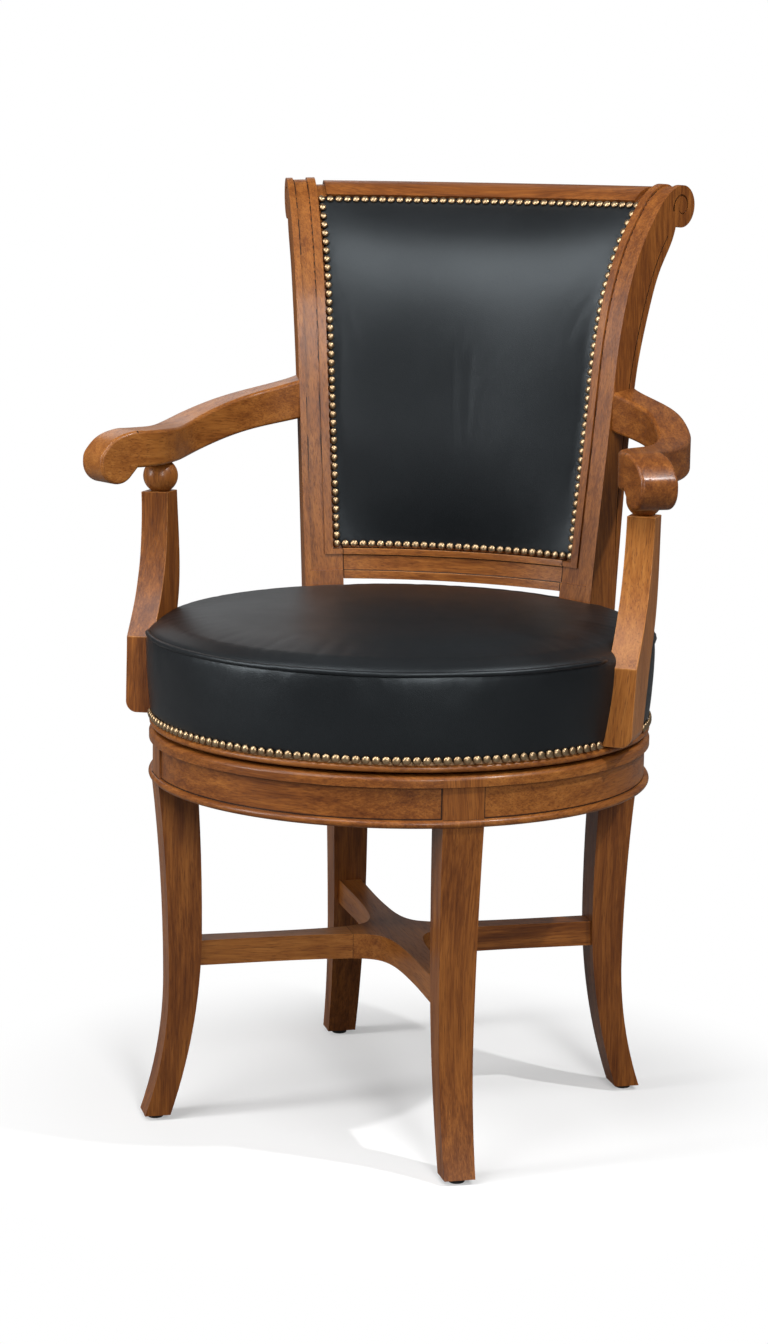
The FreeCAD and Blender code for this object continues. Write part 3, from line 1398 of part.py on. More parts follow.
welt_middle = border_foot_radius + S.border_swell * 0.72
welt = Part.makeTorus(float(welt_middle + S.welt_radius * 0.5), float(S.welt_radius),
                      point(0, 0, welt_height + S.welt_radius * 0.2))
welt = welt.cut(outer_cushion).cut(soft_room)
welt_parts = [solid for solid in welt.Solids if solid.Volume > float(S.welt_radius) ** 3]
piece("seat_welt", Part.makeCompound(welt_parts))

# domed nails

dome_radius = (float(S.nail_radius) ** 2 + float(S.nail_height) ** 2) / (2 * float(S.nail_height))


def nail(spot, outward):
    """A domed nail head standing on the given point."""
    ball_shape = Part.makeSphere(dome_radius, Vector(0, 0, float(S.nail_height) - dome_radius))
    reach = dome_radius * 2
    head = ball_shape.cut(box((-reach, -reach, -reach * 2), (reach, reach, 0)))
    head.Placement = FreeCAD.Placement(spot, FreeCAD.Rotation(Vector(0, 0, 1), outward))
    return head


def seat_nails():
    radius = float(border_foot_radius + S.border_swell * 0.07)
    height = float(border_foot + S.nail_line)
    count = int(2 * math.pi * radius / float(S.nail_pitch))
    made = []
    rooms = [shape.BoundBox for shape in soft_room.childShapes()]
    for k in range(count):
        angle = 2 * math.pi * k / count
        outward = Vector(math.cos(angle), math.sin(angle), 0)
        spot = outward * (radius + gap)
        spot.z = height
        reach = float(S.nail_radius)
        taken = False
        for room in rooms:
            across = room.XMin - reach < spot.x < room.XMax + reach
            along = room.YMin - reach < spot.y < room.YMax + reach
            taken = taken or across and along and room.ZMin < height + reach
        if not taken:
            made.append(nail(spot, outward))
    return made


def back_nail_row(point_at, start, end):
    """Nails at an even pitch along a line given by point_at(share)."""
    samples = [point_at(start + (end - start) * k / 60) for k in range(61)]
    length = sum((after - before).Length for before, after in zip(samples, samples[1:]))
    count = max(int(round(length / float(S.nail_pitch))), 1)
    return [start + (end - start) * k / count for k in range(count)]


def back_nails(depth, outward_sign, low, high, narrow):
    """Nails along the four edges of a panel of the back."""
    low, high = float(low), float(high)
    made = []

    def put(height, across):
        here = back_point(height, across, depth, narrow)
        step = float(S.fit)
        along = back_point(height + step, across, depth, narrow) - here
        share = step / float(S.post_width)
        sideways = back_point(height, across + share, depth, narrow) - here
        outward = along.cross(sideways).normalize() * outward_sign
        made.append(nail(here + outward * (soft * 2), outward))

    for across, start, end in ((-1, low, high), (1, high, low)):
        for height in back_nail_row(lambda h: back_point(h, across, depth, narrow), start, end):
            put(height, across)
    for height, start, end in ((high, -1, 1), (low, 1, -1)):
        for across in back_nail_row(lambda share: back_point(height, share, depth, narrow), start, end):
            put(height, across)
    return made


piece("seat_nails", Part.makeCompound(seat_nails()))

nail_inset = float(S.nail_radius) + soft
front_nails = back_nails(seat_depth - soft - leather, -1, leather_low + nail_inset + soft,
                         leather_high - nail_inset, nail_inset)
rear_inset = float(S.post_width - leather_start) + nail_inset + leather
rear_nails = back_nails(outside_skin_front + leather, 1, outside_low + nail_inset,
                        outside_high - nail_inset, rear_inset)

piece("back_post_right", post_right)
piece("back_post_left", mirrored(post_right))
piece("crest_rail", crest)
piece("bottom_rail", bottom_rail)
piece("back_dowels", Part.makeCompound(right_pins + [mirrored(pin) for pin in right_pins]))
piece("back_board", back_board)
piece("back_foam", back_foam)
piece("back_cover", back_cover)
piece("back_nails", Part.makeCompound(front_nails))
piece("outside_back_board", outside_board)
piece("outside_back_cover", outside_cover)
piece("outside_back_nails", Part.makeCompound(rear_nails))
right_bolts = post_bolt(bolt)
piece("back_post_bolts", Part.makeCompound(right_bolts + [mirrored(item) for item in right_bolts]))
piece("arm_right", arm_right)
piece("arm_left", mirrored(arm_right))
piece("arm_ball_right", arm_ball)
piece("arm_ball_left", mirrored(arm_ball))
piece("arm_post_right", arm_post_right)
piece("arm_post_left", mirrored(arm_post_right))
arm_bolts = arm_bolt(bolt)
piece("arm_post_bolts", Part.makeCompound(arm_bolts + [mirrored(item) for item in arm_bolts]))
arm_dowel = dowel(arm_dowel_spot, up, arm_dowel_length)
piece("arm_dowels", Part.makeCompound([arm_dowel, mirrored(arm_dowel)]))
right_screws = arm_screw(screw)
piece("arm_screws", Part.makeCompound(right_screws + [mirrored(item) for item in right_screws]))

# write every piece

doc.recompute()
for item in doc.Objects:
    if "Invalid" in item.State or "Error" in item.State:
        raise RuntimeError(f"{item.Name} failed")
os.makedirs("parts", exist_ok=True)
for item in nodes:
    shape = item.Shape
    if shape.isNull() or not shape.isValid() or not shape.Solids:
        raise RuntimeError(f"{item.Label} has no sound solid")
    shape.exportStep(f"parts/{item.Label}.step")
    print(item.Label, len(shape.Solids), round(shape.Volume))
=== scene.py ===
"""Looks of the swivel dining armchair: finished wood, black leather, brass nails.

Metres, +Z up, origin on the floor under the swivel axis, seat front towards -Y.
"""
import math

import bmesh
import bpy
import numpy as np
from mathutils import Matrix, Vector, kdtree
from mathutils.bvhtree import BVHTree


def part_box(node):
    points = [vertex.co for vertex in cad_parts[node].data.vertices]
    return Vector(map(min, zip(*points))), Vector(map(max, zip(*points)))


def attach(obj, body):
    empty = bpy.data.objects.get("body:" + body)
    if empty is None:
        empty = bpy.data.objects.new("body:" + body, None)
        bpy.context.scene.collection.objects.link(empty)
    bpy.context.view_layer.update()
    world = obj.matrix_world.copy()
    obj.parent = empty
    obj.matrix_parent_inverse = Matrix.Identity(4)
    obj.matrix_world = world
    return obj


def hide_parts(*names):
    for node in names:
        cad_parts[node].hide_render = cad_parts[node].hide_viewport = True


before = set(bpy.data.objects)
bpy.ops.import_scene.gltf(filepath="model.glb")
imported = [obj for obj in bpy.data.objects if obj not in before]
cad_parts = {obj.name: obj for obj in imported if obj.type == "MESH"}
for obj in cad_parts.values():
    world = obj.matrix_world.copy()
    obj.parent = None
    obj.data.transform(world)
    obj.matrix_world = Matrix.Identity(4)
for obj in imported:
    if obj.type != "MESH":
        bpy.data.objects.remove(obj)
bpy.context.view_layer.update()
scene = bpy.context.scene

BASE, SEAT = "base", "seat"


# node trees

class Value:
    """A socket's number, usable in sums."""

    def __init__(self, tree, socket):
        self.tree = tree
        self.socket = socket

    def math(self, operation, *others, **settings):
        terms = dict(enumerate((self,) + others))
        return self.tree.node("ShaderNodeMath", {"operation": operation, **settings}, terms)[0]

    def __add__(self, other):
        return self.math("ADD", other)

    def __sub__(self, other):
        return self.math("SUBTRACT", other)

    def __rsub__(self, other):
        return self.math("MULTIPLY_ADD", -1.0, other)

    def __mul__(self, other):
        return self.math("MULTIPLY", other)

    def __pow__(self, other):
        return self.math("POWER", other)

    def clamped(self):
        return self.math("ADD", 0.0, use_clamp=True)

    __radd__ = __add__
    __rmul__ = __mul__


class Made:
    """A node whose outputs are read by name or number."""

    def __init__(self, tree, item):
        self.tree = tree
        self.item = item

    def __getitem__(self, key):
        return Value(self.tree, self.item.outputs[key])


class Tree:
    """A node tree with one way to add a node: its type, its settings, its sockets."""

    def __init__(self, tree):
        self.tree = tree

    def node(self, kind, settings=None, sockets=None):
        item = self.tree.nodes.new(kind)
        for name, value in (settings or {}).items():
            if name == "stops":
                self.set_stops(item.color_ramp, value)
            else:
                setattr(item, name, value)
        for name, value in (sockets or {}).items():
            if isinstance(value, Made):
                value = value[0]
            if isinstance(value, Value):
                self.tree.links.new(value.socket, item.inputs[name])
            else:
                item.inputs[name].default_value = value
        return Made(self, item)

    def set_stops(self, ramp, stops):
        while len(ramp.elements) < len(stops):
            ramp.elements.new(0.5)
        for element, (place, colour) in zip(ramp.elements, stops):
            element.position = place
            element.color = (*colour, 1.0)

    def scaled(self, vector, factors):
        return self.node("ShaderNodeVectorMath", {"operation": "MULTIPLY"}, {0: vector, 1: factors})[0]

    def moved(self, vector, offset):
        return self.node("ShaderNodeVectorMath", {"operation": "ADD"}, {0: vector, 1: offset})[0]

    def noise(self, vector, scale, detail=2.0, roughness=0.5, distortion=0.0):
        return self.node("ShaderNodeTexNoise", {"noise_dimensions": "3D"},
                         {"Vector": vector, "Scale": scale, "Detail": detail,
                          "Roughness": roughness, "Distortion": distortion})["Fac"]

    def ranged(self, value, low, high, out_low=0.0, out_high=1.0, smooth=True):
        """The value's share of the way from low to high, put between two other numbers."""
        kind = "SMOOTHSTEP" if smooth else "LINEAR"
        return self.node("ShaderNodeMapRange", {"interpolation_type": kind, "clamp": True},
                         {0: value, 1: low, 2: high, 3: out_low, 4: out_high})[0]

    def blend(self, factor, first, second, kind="MIX"):
        """Two colours mixed by a factor."""
        sockets = {0: factor}
        for place, colour in ((6, first), (7, second)):
            sockets[place] = colour if isinstance(colour, (Value, Made)) else (*colour, 1.0)
        return self.node("ShaderNodeMix", {"data_type": "RGBA", "blend_type": kind}, sockets)[2]

    def bump(self, height, strength, distance, under=None):
        sockets = {"Height": height, "Strength": strength, "Distance": distance}
        if under is not None:
            sockets["Normal"] = under
        return self.node("ShaderNodeBump", None, sockets)[0]


def finish(name):
    """A new material and its empty tree."""
    material = bpy.data.materials.new(name)
    material.use_nodes = True
    material.node_tree.nodes.clear()
    return material, Tree(material.node_tree)


def surface(tree, sockets):
    shader = tree.node("ShaderNodeBsdfPrincipled", None, sockets)
    tree.node("ShaderNodeOutputMaterial", None, {"Surface": shader})


# finishes

def lacquered_wood():
    """Mid-brown lacquered hardwood. Reads the grain attribute (first axis along the grain) and the edge
    attribute that dressed writes (above 0 on free convex edges, where a highlight is painted; below 0 in
    hollows, grooves and round sunk panels, where shade is painted, and along joints, drawn as dark lines)."""
    material, tree = finish("lacquered_wood")
    grain = tree.node("ShaderNodeAttribute", {"attribute_name": "grain"})["Vector"]
    rub = tree.node("ShaderNodeAttribute", {"attribute_name": "rub"})["Fac"]
    wander = tree.node("ShaderNodeTexNoise", {"noise_dimensions": "3D"},
                       {"Vector": tree.scaled(grain, (1.2, 3.0, 3.0)), "Scale": 3.0, "Detail": 1.0})["Color"]
    drift = tree.scaled(tree.moved(wander, (-0.5, -0.5, -0.5)), (0.0, 0.02, 0.02))
    fibre_line = tree.moved(grain, drift)
    figure = tree.noise(tree.scaled(fibre_line, (1.0, 14.0, 14.0)), 6.5, 3.0, 0.6, 0.35)
    fibres = tree.noise(tree.scaled(fibre_line, (1.0, 30.0, 30.0)), 17.0, 3.0, 0.65)
    pores = tree.noise(tree.scaled(fibre_line, (1.0, 18.0, 18.0)), 48.0, 2.0, 0.6)
    clouds = tree.noise(tree.scaled(grain, (1.0, 1.8, 1.8)), 9.0, 3.0, 0.6, 0.3)
    board = tree.noise(tree.scaled(grain, (0.4, 0.4, 0.4)), 2.1, 0.0)
    specks = tree.ranged(pores, 0.52, 0.68)
    smudge = tree.ranged(clouds, 0.55, 0.80)
    tone = (figure * 0.70 + fibres * 0.62 + clouds * 0.20 + board * 0.50 - 0.51).clamped()
    stain = tree.node("ShaderNodeValToRGB", {"stops": [
        (0.18, (0.100, 0.0275, 0.0058)),
        (0.36, (0.182, 0.0550, 0.0105)),
        (0.52, (0.275, 0.0920, 0.0175)),
        (0.68, (0.360, 0.1310, 0.0265)),
        (0.88, (0.460, 0.1850, 0.0410))]}, {"Fac": tone})[0]
    stain = tree.blend(specks * 0.50, stain, (0.070, 0.0170, 0.0030))
    stain = tree.blend(smudge * 0.28, stain, (0.090, 0.0240, 0.0045))
    ragged = tree.noise(grain, 260.0, 2.0)
    # Painted highlight: the free convex edges are lightened towards the pale tone blended in below.
    painted_edge_highlight = tree.ranged(rub, 0.05, 0.9) * tree.ranged(ragged, 0.35, 0.6, 0.45, 1.0)
    # Painted shade in hollows, grooves and round sunk panels, and dark lines along joints: a near-black tone
    # blended in below.
    joint_line_and_painted_shade = tree.ranged(rub * -1.0, 0.02, 0.7) * tree.ranged(ragged, 0.2, 0.5, 0.85, 1.0)
    stain = tree.blend(painted_edge_highlight * 0.50, stain, (0.520, 0.2200, 0.0600))
    stain = tree.blend(joint_line_and_painted_shade * 0.92, stain, (0.014, 0.0050, 0.0020))
    roughness = 0.30 + fibres * 0.12 + specks * 0.08 + joint_line_and_painted_shade * 0.20 - painted_edge_highlight * 0.06
    relief = tree.bump(fibres * 0.5 - specks * 0.9, 0.26, 0.00016)
    relief = tree.bump(clouds, 0.06, 0.0010, relief)
    surface(tree, {"Base Color": stain, "Roughness": roughness, "Normal": relief,
                   "Specular IOR Level": 0.28, "Coat Weight": 0.11, "Coat Roughness": 0.18})
    return material


def black_leather():
    """Smooth black upholstery leather with a fine pebbled grain and hair-thin creases."""
    material, tree = finish("black_leather")
    place = tree.node("ShaderNodeTexCoord")["Object"]
    wander = tree.node("ShaderNodeTexNoise", {"noise_dimensions": "3D"},
                       {"Vector": place, "Scale": 170.0, "Detail": 2.0})["Color"]
    bent = tree.moved(place, tree.scaled(tree.moved(wander, (-0.5, -0.5, -0.5)), (0.0022, 0.0022, 0.0022)))
    pebble = tree.node("ShaderNodeTexVoronoi", {"voronoi_dimensions": "3D", "feature": "DISTANCE_TO_EDGE"},
                       {"Vector": bent, "Scale": 640.0, "Randomness": 0.95})["Distance"]
    creases = tree.ranged(pebble, 0.0, 0.16)
    skin = tree.noise(place, 1500.0, 2.0)
    hide = tree.noise(place, 7.5, 3.0, 0.55)
    handled = tree.noise(place, 38.0, 2.0)
    colour = tree.blend(tree.ranged(hide, 0.3, 0.7), (0.0040, 0.0046, 0.0056), (0.0072, 0.0080, 0.0094))
    # Painted shade: darker along the crease lines of the grain.
    colour = tree.blend((1.0 - creases) * 0.5, colour, (0.0020, 0.0022, 0.0026))
    roughness = 0.37 + hide * 0.07 + handled * 0.05 - creases * 0.04
    relief = tree.bump(creases, 0.22, 0.00018)
    relief = tree.bump(skin, 0.10, 0.00006, relief)
    relief = tree.bump(handled, 0.06, 0.0009, relief)
    surface(tree, {"Base Color": colour, "Roughness": roughness, "Normal": relief,
                   "Specular IOR Level": 0.52, "Specular Tint": (0.84, 0.94, 1.0, 1.0)})
    return material


def antique_brass():
    """Brass nailheads, brown round the rim and lighter on the crown, where the brass is polished and a
    highlight is painted.
    """
    material, tree = finish("antique_brass")
    place = tree.node("ShaderNodeTexCoord")["Object"]
    crown = tree.node("ShaderNodeAttribute", {"attribute_name": "crown"})["Fac"]
    patch = tree.noise(place, 240.0, 3.0, 0.6)
    pits = tree.noise(place, 1400.0, 2.0)
    # Lighter towards the crown, polished brass with a painted highlight there, and in random patches.
    polish_and_highlight = (tree.ranged(crown, 0.02, 0.55) * 0.85 + tree.ranged(patch, 0.35, 0.7) * 0.35 - 0.15).clamped()
    colour = tree.blend(polish_and_highlight, (0.210, 0.118, 0.0520), (0.520, 0.370, 0.2150))
    colour = tree.blend(tree.ranged(pits, 0.58, 0.75) * 0.5, colour, (0.060, 0.028, 0.0120))
    relief = tree.bump(pits, 0.25, 0.00012)
    relief = tree.bump(patch, 0.30, 0.0005, relief)
    surface(tree, {"Base Color": colour, "Metallic": 1.0, "Roughness": 0.50 - polish_and_highlight * 0.14,
                   "Normal": relief})
    return material


def turned_steel():
    """Zinc-plated swivel plates, cage and screws."""
    material, tree = finish("turned_steel")
    place = tree.node("ShaderNodeTexCoord")["Object"]
    rolled = tree.noise(tree.scaled(place, (1.0, 30.0, 30.0)), 22.0, 3.0)
    spangle = tree.noise(place, 120.0, 3.0)
    colour = tree.blend(tree.ranged(spangle, 0.3, 0.7), (0.42, 0.42, 0.41), (0.56, 0.56, 0.56))
    relief = tree.bump(rolled, 0.15, 0.0001)
    surface(tree, {"Base Color": colour, "Metallic": 1.0, "Roughness": 0.30 + rolled * 0.2, "Normal": relief})
    return material


def raw_board():
    """Sanded plywood and beech inside the seat and back, with no lacquer."""
    material, tree = finish("raw_board")
    place = tree.node("ShaderNodeTexCoord")["Object"]
    streak = tree.noise(tree.scaled(place, (1.0, 24.0, 24.0)), 9.0, 4.0, 0.6)
    cloud = tree.noise(place, 6.0, 2.0)
    colour = tree.blend(streak, (0.300, 0.170, 0.078), (0.520, 0.340, 0.185))
    colour = tree.blend(tree.ranged(cloud, 0.4, 0.8) * 0.4, colour, (0.240, 0.130, 0.060))
    relief = tree.bump(streak, 0.3, 0.0003)
    surface(tree, {"Base Color": colour, "Roughness": 0.62 + streak * 0.12, "Normal": relief,
                   "Specular IOR Level": 0.4})
    return material


def fluted_dowel():
    """Pale beech dowels."""
    material, tree = finish("fluted_dowel")
    place = tree.node("ShaderNodeTexCoord")["Object"]
    streak = tree.noise(tree.scaled(place, (20.0, 20.0, 2.0)), 12.0, 3.0)
    colour = tree.blend(streak, (0.400, 0.250, 0.125), (0.620, 0.440, 0.260))
    relief = tree.bump(streak, 0.3, 0.0002)
    surface(tree, {"Base Color": colour, "Roughness": 0.6 + streak * 0.1, "Normal": relief})
    return material


def black_glide():
    """Moulded black nylon glides, scuffed underneath."""
    material, tree = finish("black_glide")
    place = tree.node("ShaderNodeTexCoord")["Object"]
    scuff = tree.noise(place, 330.0, 3.0, 0.7)
    height = tree.node("ShaderNodeSeparateXYZ", None, {0: place})["Z"]
    low = tree.ranged(height, 0.0, 0.003, 1.0, 0.0)
    colour = tree.blend(scuff * low * 0.5, (0.012, 0.012, 0.012), (0.11, 0.10, 0.09))
    relief = tree.bump(scuff, 0.3, 0.0002)
    surface(tree, {"Base Color": colour, "Roughness": 0.46 + scuff * 0.2, "Normal": relief})
    return material


# studio

SENSOR_HEIGHT = 36.0
IMAGE_HEIGHT = 1344.0
FOCAL_LENGTH_IN_PIXELS = 3000.0


def photo_camera():
    data = bpy.data.cameras.new("camera")
    data.sensor_fit = "VERTICAL"
    data.sensor_height = SENSOR_HEIGHT
    data.lens = SENSOR_HEIGHT * FOCAL_LENGTH_IN_PIXELS / IMAGE_HEIGHT
    data.clip_start = 0.05
    camera = bpy.data.objects.new("camera", data)
    right = Vector((0.95537863, 0.29501725, 0.014714))
    upward = Vector((-0.06534285, 0.162501, 0.9845424))
    back = right.cross(upward)
    camera.matrix_world = Matrix.Translation((0.89606871, -2.98675254, 1.02418172)) @ \
        Matrix((right, upward, back)).transposed().to_4x4()
    scene.collection.objects.link(camera)
    scene.camera = camera


def softbox(name, place, aim, width, height, power):
    data = bpy.data.lights.new(name, "AREA")
    data.shape = "RECTANGLE"
    data.size = width
    data.size_y = height
    data.energy = power
    lamp = bpy.data.objects.new(name, data)
    lamp.rotation_euler = (Vector(aim) - Vector(place)).to_track_quat("-Z", "Y").to_euler()
    lamp.location = place
    scene.collection.objects.link(lamp)


def white_world(light):
    """White where the camera looks, a plain grey light for everything else."""
    world = bpy.data.worlds.new("studio_white")
    world.use_nodes = True
    world.node_tree.nodes.clear()
    tree = Tree(world.node_tree)
    seen = tree.node("ShaderNodeLightPath")["Is Camera Ray"]
    strength = light + (1.0 - light) * seen
    backdrop = tree.node("ShaderNodeBackground", None, {"Color": (1.0, 1.0, 1.0, 1.0), "Strength": strength})
    tree.node("ShaderNodeOutputWorld", None, {"Surface": backdrop})
    scene.world = world


def white_floor():
    """Plain pale floor. It keeps the chair's shadow and turns to the backdrop's white further out."""
    material, tree = finish("studio_floor")
    place = tree.node("ShaderNodeTexCoord")["Object"]
    flat = tree.scaled(place, (1.0, 1.0, 0.0))
    reach = tree.node("ShaderNodeVectorMath", {"operation": "LENGTH"}, {0: flat})["Value"]
    seen = tree.node("ShaderNodeLightPath")["Is Camera Ray"]
    card = tree.blend(seen, (0.22, 0.22, 0.22), (0.81, 0.81, 0.81))
    paper = tree.node("ShaderNodeBsdfDiffuse", None, {"Color": card, "Roughness": 0.5})
    glow = tree.node("ShaderNodeEmission", None, {"Color": (1.0, 1.0, 1.0, 1.0), "Strength": 1.0})
    factor = seen * tree.ranged(reach, 0.26, 0.52, 0.30, 1.0)
    mixed = tree.node("ShaderNodeMixShader", None, {0: factor, 1: paper, 2: glow})
    tree.node("ShaderNodeOutputMaterial", None, {"Surface": mixed})
    mesh = bpy.data.meshes.new("floor")
    side = 30.0
    mesh.from_pydata([(-side, -side, 0), (side, -side, 0), (side, side, 0), (-side, side, 0)], [],
                     [(0, 1, 2, 3)])
    mesh.materials.append(material)
    floor = bpy.data.objects.new("floor", mesh)
    scene.collection.objects.link(floor)


photo_camera()
white_world(0.15)
white_floor()
softbox("top_softbox", (-0.9, -1.6, 3.1), (0.0, 0.0, 0.5), 1.8, 1.8, 58.0)
softbox("left_softbox", (-2.6, -2.0, 1.7), (0.0, 0.0, 0.7), 0.7, 1.7, 64.0)
softbox("right_softbox", (1.9, -3.1, 1.9), (0.0, 0.0, 0.7), 0.7, 1.5, 60.0)
softbox("rear_softbox", (-1.8, 2.8, 2.2), (0.0, 0.0, 0.6), 1.8, 1.4, 9.0)
softbox("side_lamp", (1.85, -0.46, 2.94), (0.0, 0.0, 0.4), 0.10, 0.10, 50.0)
scene.view_settings.view_transform = "Standard"

WOOD = lacquered_wood()
LEATHER = black_leather()
BRASS = antique_brass()
STEEL = turned_steel()
BOARD = raw_board()
DOWEL = fluted_dowel()
GLIDE = black_glide()


# shapes

def merged(*nodes):
    """The CAD nodes' surfaces as one welded bmesh."""
    shape = bmesh.new()
    for node in nodes:
        shape.from_mesh(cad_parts[node].data)
    bmesh.ops.remove_doubles(shape, verts=shape.verts, dist=2e-6)
    return shape


def search_tree(places):
    """A tree that finds the nearest of some points."""
    tree = kdtree.KDTree(len(places))
    for index, place in enumerate(places):
        tree.insert(place, index)
    tree.balance()
    return tree


def connected(shape):
    """The separate surfaces of a bmesh: for each one its vertices."""
    found, seen = [], set()
    for vertex in shape.verts:
        if vertex in seen:
            continue
        part, waiting = [], [vertex]
        seen.add(vertex)
        while waiting:
            here = waiting.pop()
            part.append(here)
            for edge in here.link_edges:
                other = edge.other_vert(here)
                if other not in seen:
                    seen.add(other)
                    waiting.append(other)
        found.append(part)
    return found


def cut_along(shape, place, normal):
    bmesh.ops.bisect_plane(shape, geom=shape.verts[:] + shape.edges[:] + shape.faces[:], dist=1e-6,
                           plane_co=place, plane_no=normal)


def joined_mesh(name, shape):
    mesh = bpy.data.meshes.new(name)
    shape.to_mesh(mesh)
    shape.free()
    return mesh


def added(name, mesh, material, body, nodes):
    """A finished mesh put in the scene as a piece of the chair, in place of its CAD nodes."""
    mesh.materials.clear()
    mesh.materials.append(material)
    item = bpy.data.objects.new(name, mesh)
    scene.collection.objects.link(item)
    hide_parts(*nodes)
    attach(item, body)
    return item


def evaluated(item, name):
    """The item's mesh with its modifiers worked in. The item itself is removed."""
    bpy.context.view_layer.update()
    depsgraph = bpy.context.evaluated_depsgraph_get()
    mesh = bpy.data.meshes.new_from_object(item.evaluated_get(depsgraph), depsgraph=depsgraph)
    mesh.name = name
    bpy.data.objects.remove(item)
    return mesh


def loose_item(mesh):
    item = bpy.data.objects.new("work", mesh)
    scene.collection.objects.link(item)
    return item


def vertex_vectors(mesh, kind):
    flat = np.empty(3 * len(mesh.vertices), np.float32)
    mesh.vertices.foreach_get(kind, flat)
    return flat.reshape(-1, 3).astype(float)


def points_of(mesh):
    return vertex_vectors(mesh, "co")


def normals_of(mesh):
    return vertex_vectors(mesh, "normal")


def set_points(mesh, points):
    mesh.vertices.foreach_set("co", np.asarray(points, np.float32).ravel())
    mesh.update()


piece_count = 0


def set_grain(mesh, along):
    """Writes the grain attribute: the first axis runs along the board the piece is sawn from."""
    global piece_count
    piece_count += 1
    first = Vector(along).normalized()
    second = first.orthogonal().normalized()
    third = first.cross(second)
    axes = np.array([first, second, third])
    placed = points_of(mesh) @ axes.T + np.array([0.73, 0.41, 0.57]) * piece_count
    grain = mesh.attributes.new("grain", "FLOAT_VECTOR", "POINT")
    grain.data.foreach_set("vector", placed.astype(np.float32).ravel())


def sharp_edges(shape, degrees):
    limit = math.radians(degrees)
    return [edge for edge in shape.edges
            if len(edge.link_faces) == 2 and edge.calc_face_angle(0.0) > limit]


def neighbours(node):
    """A search tree of the wood that may touch a piece: the surfaces of all other wooden nodes."""
    shape = merged(*(other for other in WOODEN if other != node))
    tree = BVHTree.FromBMesh(shape)
    shape.free()
    return tree


EDGE_WIDTH = 0.0008
EDGE_WEIGHT = 0.6
SHARP_ANGLE = 24
MARK_SPACING = 0.0015
JOINT_REACH = 0.0011
GROOVE_REACH = 0.0019
# Painted shade in grooves and round sunk panels.
GROOVE_SHADE = -0.8
PANEL_RADIUS = 0.2593
PANEL_LOW, PANEL_HIGH = 0.3705, 0.4035
# Width of the painted shade border inside a sunk panel.
PANEL_SHADE_WIDTH = 0.0015
BLOCK_HALF = 0.021


def panel_sides(middle):
    """The directions from the two leg blocks towards the middle of an apron rail."""
    return [Vector(heading(middle - 45 * sign)) for sign in (-1, 1)]


def cut_panel_border(shape, middle):
    """Cuts the faces of an apron rail along a narrow border inside its sunk panel, where shade is painted."""
    for side in panel_sides(middle):
        cut_along(shape, side * (BLOCK_HALF + PANEL_SHADE_WIDTH), side)
    for height in (PANEL_LOW + PANEL_SHADE_WIDTH, PANEL_HIGH - PANEL_SHADE_WIDTH):
        cut_along(shape, (0, 0, height), (0, 0, 1))


def in_panel_border(middle, place):
    if abs(math.hypot(place.x, place.y) - PANEL_RADIUS) > 0.0004 or not PANEL_LOW < place.z < PANEL_HIGH:
        return False
    edge = min(place.z - PANEL_LOW, PANEL_HIGH - place.z)
    return min([edge] + [side.dot(place) - BLOCK_HALF for side in panel_sides(middle)]) < PANEL_SHADE_WIDTH


